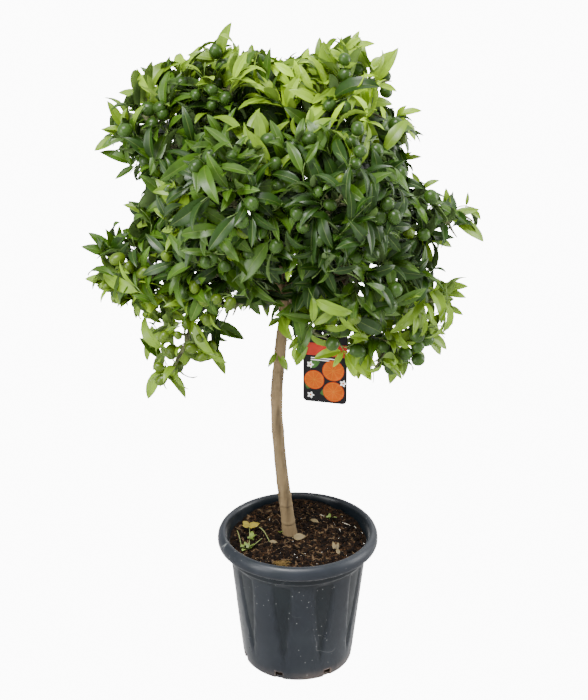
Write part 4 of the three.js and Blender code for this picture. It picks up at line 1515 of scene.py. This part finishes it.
def bark_material(name, light, dark, scale, rings=()):
    material = new_material(name, light, 0.8, Specular_IOR_Level=0.3)
    streaks = pattern(material, scale=scale, stretch=(1, 1, 0.16), detail=6)
    tones = [(0.28, dark), (0.5, shaded(light, 0.82)), (0.72, light)]
    colour = ramp(material, streaks.outputs["Fac"], tones)
    if rings:
        # painted shade in the grooves of the lowest rings
        colour = mix_colour(material, ring_groove_shade(material, rings), colour, dark)
    blotch = pattern(material, scale=26, detail=3)
    patches = ramp(material, blotch.outputs["Fac"], [(0.45, (0.0, 0.0, 0.0)), (0.7, (0.5, 0.5, 0.5))])
    set_colour(material, mix_colour(material, patches, colour, shaded(light, 0.7)))
    set_bump(material, streaks.outputs["Fac"], 0.7, 0.0012)
    return material


def make_wood():
    trunk = limb_mesh(limbs["trunk"], 340, 32, "trunk_bark")
    bark_relief(trunk, 1.0, TRUNK_RINGS)
    bark = bark_material("bark", (0.184, 0.128, 0.062), (0.045, 0.031, 0.014), 90, TRUNK_RINGS)
    finish_piece(trunk, "trunk_bark", "bark", "trunk", angle=60, material=bark)
    boughs = []
    for mass in masses:
        line = limbs[mass.name]
        line.thick *= 1.12
        boughs.append(limb_mesh(line, 26, 16, "bough"))
    wood = join(boughs)
    bark_relief(wood, 0.8)
    bough_bark = bark_material("bough_bark", (0.15, 0.105, 0.06), (0.06, 0.042, 0.024), 110)
    nodes = ["bough_" + mass.name for mass in masses]
    finish_piece(wood, "boughs_bark", "bark", *nodes, angle=60, material=bough_bark)


# ---------- Fruit ----------


FOLIAGE = ["leaves_" + mass.name for mass in masses]  # the solids that leaves, twigs and fruit replace
PEELS = [
    ("fruit_green", (0.027, 0.064, 0.006)),
    ("fruit_turning", (0.062, 0.108, 0.004)),
]


def is_turning(centre, pick):
    """Whether a fruit has begun to turn yellow; most of those low on the left have."""
    return pick.random() < 0.03 + 0.75 * smooth_step(-20, -130, centre.x) * smooth_step(880, 780, centre.z)


def make_fruit(places):
    """The fruits, each from (centre, stalk's way, radius, hook on the twig); returns their stalks."""
    points, faces = base_shape(bpy.ops.mesh.primitive_uv_sphere_add, segments=16, ring_count=10, radius=1)
    shaped = []
    for x, y, z in points:
        dimple = 0.10 * math.exp(-((1 - z) / 0.08)) + 0.05 * math.exp(-((1 + z) / 0.06))
        shaped.append((x, y, z * (1.04 - dimple)))
    pick = random.Random(19)
    copies, calyxes, stalks = ([], []), [], []
    for centre, way, radius, hook in places:
        turn = way.to_track_quat("Z", "Y").to_matrix()
        turning = is_turning(centre, pick)
        tall = pick.uniform(1.05, 1.3) if turning else pick.uniform(1.0, 1.1)
        copies[turning].append((centre, turn, (radius * 0.96, radius * 0.96, radius * tall)))
        top = centre + way * (radius * tall * 0.95)
        calyxes.append((top, turn, (radius * 0.24, radius * 0.24, 0.7)))
        stalks.append(Arc(top, (top + hook) / 2 + way * 1.5, hook, 0.9, 1.1))
    for (name, colour), rows in zip(PEELS, copies):
        peel = mottled(name + "_peel", colour, 0.36, 22, 0.3, bump=0.3, depth=0.0004, specular=0.34)
        fruit = scattered(name, np.array(shaped), faces, rows, peel, smooth=True)
        finish_piece(fruit, name, "fruit", *FOLIAGE)
    make_calyxes(calyxes)
    return stalks


def make_calyxes(places):
    """A small five-pointed star on each fruit."""
    star, faces = base_shape(bpy.ops.mesh.primitive_cylinder_add, vertices=10, radius=1, depth=1)
    reaches = [1 if i // 2 % 2 else 0.62 for i in range(len(star))]
    star = star * np.array([[reach, reach, 1] for reach in reaches])
    cap = mottled("calyx", (0.10, 0.12, 0.04), 0.7, 90, 0.2)
    finish_piece(scattered("calyxes", star, faces, places, cap), "fruit_calyxes", "twig", *FOLIAGE)


# ---------- The head ----------


def place_spray(node, tips, depth, wood, tone, pick):
    """A shoot from the wood to a node, and a leaf from there to each tip, all as seen from the front."""
    start, heading, _ = wood
    root = on_sight(*node, depth)
    for i, tip in enumerate(tips):
        end = on_sight(*tip, depth + (pick.uniform(-14, 6) if i else 0))
        way = (end - root).normalized()
        face = square_to(way, vec(pick.uniform(-0.4, 0.4), -0.6, 0.6))
        length, width = (end - root).length, pick.uniform(0.26, 0.35)
        bend, fold = pick.uniform(0.4, 1.0), pick.uniform(0.2, 0.5)
        twist, wave = pick.uniform(-0.3, 0.3), pick.uniform(0, WAVES)
        leaves.rows.append((*root, *way, *face, length, width, bend, fold, twist, wave, tone))
    bend = start + heading * ((root - start).length * 0.3) + (root - start) * 0.3
    return Arc(start, bend, root, 1.3, 0.8)


def lead_sprays(growing, pick):
    """The leaves that stand clear of the head, and the spray before the tag."""
    shoots = []
    for node, tips in LEADING_SPRAYS:
        place = vec(node[0], 0, node[1])
        wood = min(growing, key=lambda point: (point[0] - place).length)
        # painted light: most sprays take a paler copy of the green, some high in the head paler still
        tone = DARK + (pick.random() < 0.8) + (node[1] > 900 and pick.random() < 0.4)
        shoots.append(place_spray(node, tips, lerp(wood[0].y, 0, 0.35), wood, tone, pick))
    node, tips = TAG_SPRAY
    depth = tag_middle.y - SPRAY_BEFORE_TAG
    above = on_sight(node[0], node[1] + 40, depth)
    wood = min(growing, key=lambda point: (point[0] - above).length)
    # painted light: the spray before the tag hangs in shade but takes the sunlit copy of the green
    shoots.append(place_spray(node, tips, depth, wood, SUNLIT, pick))
    return shoots


def hang_clusters(growing, pick):
    """The fruits that show at the front, each cluster on the foremost wood near it."""
    fruits = []
    for x, z, count in FRUIT_CLUSTERS:
        near = [place for place, _, _ in growing if math.dist(seen_at(place), (x, z)) < CLUSTER_REACH]
        if not near:
            continue
        hook = min(near, key=lambda place: place.y)
        first = pick.uniform(0, 2 * math.pi)
        for i in range(count):
            radius = pick.uniform(*FRUIT_RADIUS) * (SMALL_FRUIT if x < -140 and z < 640 else 1.0)
            spread = 0 if count == 1 else FRUIT_RADIUS[1] * 0.95 / math.sin(math.pi / count)
            turn = first + 2 * math.pi * i / count
            seen = (x + spread * math.cos(turn), z + spread * math.sin(turn))
            centre = on_sight(*seen, hook.y - 2 + pick.uniform(-6, 6))
            shown_fruit.append((centre, radius, seen))
            all_fruit.append((centre, radius))
            fruits.append((centre, (hook - centre).normalized(), radius, hook))
    return fruits


def grow_head():
    lines, shoots = [], []
    for mass in masses:
        mass.pick = random.Random(mass.seed)
        twigs = main_twigs(mass)
        lines += [stems[mass.name], *twigs]
        mass.shoots = grow_shoots(mass, twigs, mass.pick)
        mass.ends = [Arc(twig.point(0.35), twig.point(0.68), twig.end, 2, 1.6) for twig in twigs]
        shoots += mass.shoots
    growing = [point for shoot in shoots for point in growing_points(shoot, 0.35)]
    pick = random.Random(71)
    fruit = hang_clusters(growing, pick)
    shoots += lead_sprays(growing, pick)
    for mass in masses:
        fruit += grow_fruit(mass, mass.shoots, mass.pick)
        for shoot in mass.shoots + mass.ends:
            grow_leaves(mass, shoot, mass.pick)
    return lines, shoots, fruit


def grow_fruit(mass, shoots, pick):
    """Fruit in ones and twos under the shoots, most of it in the outer part of the head."""
    places = []
    for shoot in shoots:
        if pick.random() > 0.1 + 0.25 * smooth_step(0.5, 0.9, head_depth(shoot.end)):
            continue
        outward = (shoot.end - HEART).normalized()
        for _ in range(pick.choice((1, 2, 2, 3))):
            radius = pick.uniform(*FRUIT_RADIUS)
            hook = shoot.point(pick.uniform(0.2, 0.9))
            away = (any_way(pick) * 0.7 - UP * 0.3 + outward * 0.6).normalized()
            centre = hook + away * (radius + 3)
            apart = all((centre - other).length > radius + size for other, size in all_fruit)
            if not apart or not in_space(mass, centre, 0.95, 10) or open_sky(centre, radius + 5):
                continue
            if not clear_of_tag(centre) or not clear_of_trunk(centre, TRUNK_MARGIN):
                continue
            all_fruit.append((centre, radius))
            places.append((centre, -away, radius, hook))
    return places


def make_head():
    lines, shoots, fruit = grow_head()
    stalks = make_fruit(fruit)
    brown = mottled("twig_wood", (0.082, 0.088, 0.032), 0.75, 80, 0.3, bump=0.3, depth=0.0006)
    finish_piece(tubes_piece("twigs", lines, 8, 6, brown, 0.08), "twigs", "twig", *FOLIAGE)
    green = mottled("shoot_green", (0.10, 0.17, 0.03), 0.6, 80, 0.25)
    finish_piece(tubes_piece("shoots", shoots + stalks, 6, 4, green, 0.06), "shoots", "twig", *FOLIAGE)
    for tone, (name, colour) in enumerate(LEAF_TONES):
        rows = [row for row in leaves.rows if row[-1] == tone]
        materials = leaf_materials(name, colour)
        for part in range(0, len(rows), LEAVES_IN_A_PIECE):
            label = f"leaves_{name}_{part // LEAVES_IN_A_PIECE + 1}"
            piece = leaf_piece(label, rows[part : part + LEAVES_IN_A_PIECE], materials)
            finish_piece(piece, label, "leaf", *FOLIAGE, angle=55)


# ---------- Tag ----------


TAG_INKS = [  # name, colour, roughness, scale and spread of its mottling, and shine
    ("dark", (0.008, 0.007, 0.008), 0.3, 30, 0.2, 0.2),
    ("orange", (0.38, 0.048, 0.0), 0.35, 45, 0.2, 0.1),
    ("amber", (0.38, 0.066, 0.0), 0.35, 60, 0.2, 0.1),
    ("pith", (0.44, 0.115, 0.004), 0.35, 60, 0.1, 0.1),
    ("red", (0.34, 0.016, 0.003), 0.4, 40, 0.15, 0.2),
    ("green", (0.035, 0.095, 0.015), 0.4, 50, 0.3, 0.2),
]
# The pictures, in millimetres across and up from the middle of the card.
TAG_BAND = (-37, 18, 37, 40)
TAG_RULES = [(-24, 12.8, 26, 14.2), (-24, 9.3, 10, 10.7)]
TAG_LEAVES = [(-30, -2, 0.4), (24, -20, 2.0), (-8, -50, 0.3), (32, 2, 3.7), (-30, -44, 1.2)]
TAG_SLICES = [(14, -7, 18.5), (-18, -26, 17), (15, -45, 18)]
TAG_BLOSSOMS = [(-25, 1), (31, -28), (-24, -54)]
SLICE_PARTS = 9
PETALS = 5
INK_THICKNESS = 0.1


def rounded(width, height, corner, steps=8):
    """An upright rectangle with round corners."""
    points = []
    for i, (sx, sz) in enumerate(((1, 1), (-1, 1), (-1, -1), (1, -1))):
        for k in range(steps + 1):
            turn = math.pi / 2 * (i + k / steps)
            x = sx * (width / 2 - corner) + corner * math.cos(turn)
            z = sz * (height / 2 - corner) + corner * math.sin(turn)
            points.append((x, z))
    return points


def rectangle(left, bottom, right, top):
    return [(left, bottom), (right, bottom), (right, top), (left, top)]


def disc(x, z, radius, steps=28):
    turns = [2 * math.pi * i / steps for i in range(steps)]
    return [(x + radius * math.cos(turn), z + radius * math.sin(turn)) for turn in turns]


def wedge(x, z, radius, turn, width):
    points = [(x + 1.2 * math.cos(turn), z + 1.2 * math.sin(turn))]
    for i in range(6):
        a = turn - width / 2 + width * i / 5
        points.append((x + radius * math.cos(a), z + radius * math.sin(a)))
    return points


def pointed(x, z, turn, length, width):
    """The outline of a leaf or a petal."""
    points = []
    cos, sin = math.cos(turn), math.sin(turn)
    for side in (1, -1):
        for i in range(8):
            t = i / 8 if side == 1 else 1 - i / 8
            a, b = t * length, side * width * math.sin(math.pi * t**0.85)
            points.append((x + a * cos - b * sin, z + a * sin + b * cos))
    return points


def plate(name, outline, front, thickness, material):
    """A flat plate in the tag's plane, its front face at a depth before the card's middle."""
    count = len(outline)
    points = [(x, -front, z) for x, z in outline] + [(x, -front + thickness, z) for x, z in outline]
    faces = [tuple(range(count)), tuple(reversed(range(count, 2 * count)))]
    for i in range(count):
        j = (i + 1) % count
        faces.append((i, i + count, j + count, j))
    turn = Matrix.Rotation(tag_turn, 3, "Z")
    placed = [(turn @ Vector(point) + tag_middle) * MM for point in points]
    mesh = bpy.data.meshes.new(name)
    mesh.from_pydata([tuple(p) for p in placed], [], faces)
    mesh.materials.append(material)
    piece = bpy.data.objects.new(name, mesh)
    bpy.context.scene.collection.objects.link(piece)
    face_outwards(piece)
    return piece


def tag_pictures():
    """All that is printed on one side of the card: outline, height above the card and ink."""
    yield rectangle(*TAG_BAND), 0.04, "red"
    for rule in TAG_RULES:
        yield rectangle(*rule), 0.05, "white"
    for x, z, turn in TAG_LEAVES:
        yield pointed(x, z, turn, 24, 7), 0.06, "green"
    for x, z, radius in TAG_SLICES:
        yield disc(x, z, radius), 0.12, "orange"
        yield disc(x, z, radius * 0.9), 0.16, "pith"
        for k in range(SLICE_PARTS):
            yield wedge(x, z, radius * 0.86, k * 2 * math.pi / SLICE_PARTS, 0.66), 0.2, "amber"
    for x, z in TAG_BLOSSOMS:
        for k in range(PETALS):
            yield pointed(x, z, k * 2 * math.pi / PETALS, 6.5, 1.9), 0.14, "white"
        yield disc(x, z, 1.6, 12), 0.2, "amber"


def make_card(material):
    outline = rounded(TAG_WIDTH, TAG_HEIGHT, TAG_CORNER)
    card = plate("card", outline, TAG_THICKNESS / 2, TAG_THICKNESS, material)
    slot_place = tag_middle + UP * (TAG_HEIGHT / 2 - SLOT_EDGE)
    cut_away(card, block(slot_place, tag_turn, (SLOT_WIDTH, 20, SLOT_HEIGHT)))
    finish_piece(card, "tag_card_print", "tag", "tag_card", angle=30)


def print_card(inks):
    """The same pictures on both sides, those at the back turned to face outwards."""
    prints = []
    for side in (1, -1):
        for outline, above, ink in tag_pictures():
            points = [(side * x, z) for x, z in outline]
            if side < 0:
                points.reverse()
            height = TAG_THICKNESS / 2 + above
            front = height if side > 0 else -height + INK_THICKNESS
            prints.append(plate("print", points, front, INK_THICKNESS, inks[ink]))
    finish_piece(join(prints), "tag_pictures", "tag_print", "tag_card")


def make_tag():
    inks = {"white": new_material("tag_white", (0.82, 0.80, 0.76), 0.4)}
    for name, colour, roughness, scale, spread, shine in TAG_INKS:
        inks[name] = mottled("tag_" + name, colour, roughness, scale, spread, specular=shine)
    make_card(inks["dark"])
    print_card(inks)


def make_strap():
    node = frame["nodes"]["tag_strap"]
    strap_film = mottled("strap_film", (0.03, 0.028, 0.03), 0.35, 60, 0.2)
    node.data.materials.clear()
    node.data.materials.append(strap_film)


# ---------- Stage ----------


STAGE_WHITE = (0.9, 0.9, 0.9)
BACKDROP_GLOW = 11.0
SKY_GLOW = 0.7
SUNS = [  # name, place in metres, spread in degrees and strength
    ("key", (-0.8, -1.7, 3.6), 28, 6.8),
    ("back", (1.8, 2.6, 3.2), 60, 1.4),
]
SOFTBOXES = [("softbox_left", (-2.4, -1.9, 1.1)), ("softbox_right", (2.6, 0.0, 1.1))]
SOFTBOX_SIZE = (0.7, 2.0)
SOFTBOX_POWER = 75


def stage_plane(name, height, material):
    deselect()
    bpy.ops.mesh.primitive_plane_add(size=60, location=(0, 0, height * MM))
    plane = bpy.context.object
    plane.name = name
    plane.data.materials.append(material)
    return plane


def make_ground():
    """A white floor, and just below it a glowing sheet."""
    white = new_material("floor_white", STAGE_WHITE, 0.95, Specular_IOR_Level=0.1)
    floor = stage_plane("floor", 0, white)
    floor.visible_camera = False
    floor.visible_glossy = False
    sheet = new_material("backdrop_white", STAGE_WHITE, 0.95, Specular_IOR_Level=0.1)
    shader = sheet.node_tree.nodes["Principled BSDF"]
    shader.inputs["Emission Color"].default_value = (1, 1, 1, 1)
    shader.inputs["Emission Strength"].default_value = BACKDROP_GLOW
    backdrop = stage_plane("backdrop", -0.5, sheet)
    backdrop.visible_diffuse = False
    backdrop.visible_glossy = False
    backdrop.visible_shadow = False


def make_sky():
    """Soft light from all round, and a bright wall behind the plant."""
    world = bpy.data.worlds.new("studio")
    bpy.context.scene.world = world
    world.use_nodes = True
    tree = world.node_tree
    light = tree.nodes["Background"]
    light.inputs["Color"].default_value = (1.0, 1.0, 1.0, 1)
    light.inputs["Strength"].default_value = SKY_GLOW
    wall = tree.nodes.new("ShaderNodeBackground")
    wall.inputs["Strength"].default_value = BACKDROP_GLOW + 2
    path = tree.nodes.new("ShaderNodeLightPath")
    chosen = tree.nodes.new("ShaderNodeMixShader")
    tree.links.new(path.outputs["Is Camera Ray"], chosen.inputs[0])
    tree.links.new(light.outputs[0], chosen.inputs[1])
    tree.links.new(wall.outputs[0], chosen.inputs[2])
    tree.links.new(chosen.outputs[0], tree.nodes["World Output"].inputs["Surface"])


def place_lamp(name, data, place, aim):
    lamp = bpy.data.objects.new(name, data)
    bpy.context.scene.collection.objects.link(lamp)
    lamp.location = place
    lamp.rotation_euler = (Vector(aim) - Vector(place)).to_track_quat("-Z", "Y").to_euler()
    return lamp


def make_lamps():
    for name, place, spread, power in SUNS:
        data = bpy.data.lights.new(name, "SUN")
        data.angle = math.radians(spread)
        data.energy = power
        place_lamp(name, data, place, (0, 0, 0))
    for name, place in SOFTBOXES:
        data = bpy.data.lights.new(name, "AREA")
        data.shape = "RECTANGLE"
        data.size, data.size_y = SOFTBOX_SIZE
        data.energy = SOFTBOX_POWER
        place_lamp(name, data, place, (0, 0, 0.6)).visible_camera = False


def make_camera():
    data = bpy.data.cameras.new("camera")
    data.sensor_width = 36
    data.lens = LENS
    data.clip_end = 100
    camera = bpy.data.objects.new("camera", data)
    bpy.context.scene.collection.objects.link(camera)
    camera.location = EYE * MM
    camera.rotation_euler = (math.pi / 2 - VIEW_PITCH, 0, 0)
    bpy.context.scene.camera = camera


def make_stage():
    make_ground()
    make_sky()
    make_lamps()
    make_camera()


make_stage()
make_pot()
make_soil()
make_crumbs()
make_stalks()
make_pale_straws()
make_dry_leaves()
make_seedlings()
make_wood()
make_head()
make_tag()
make_strap()
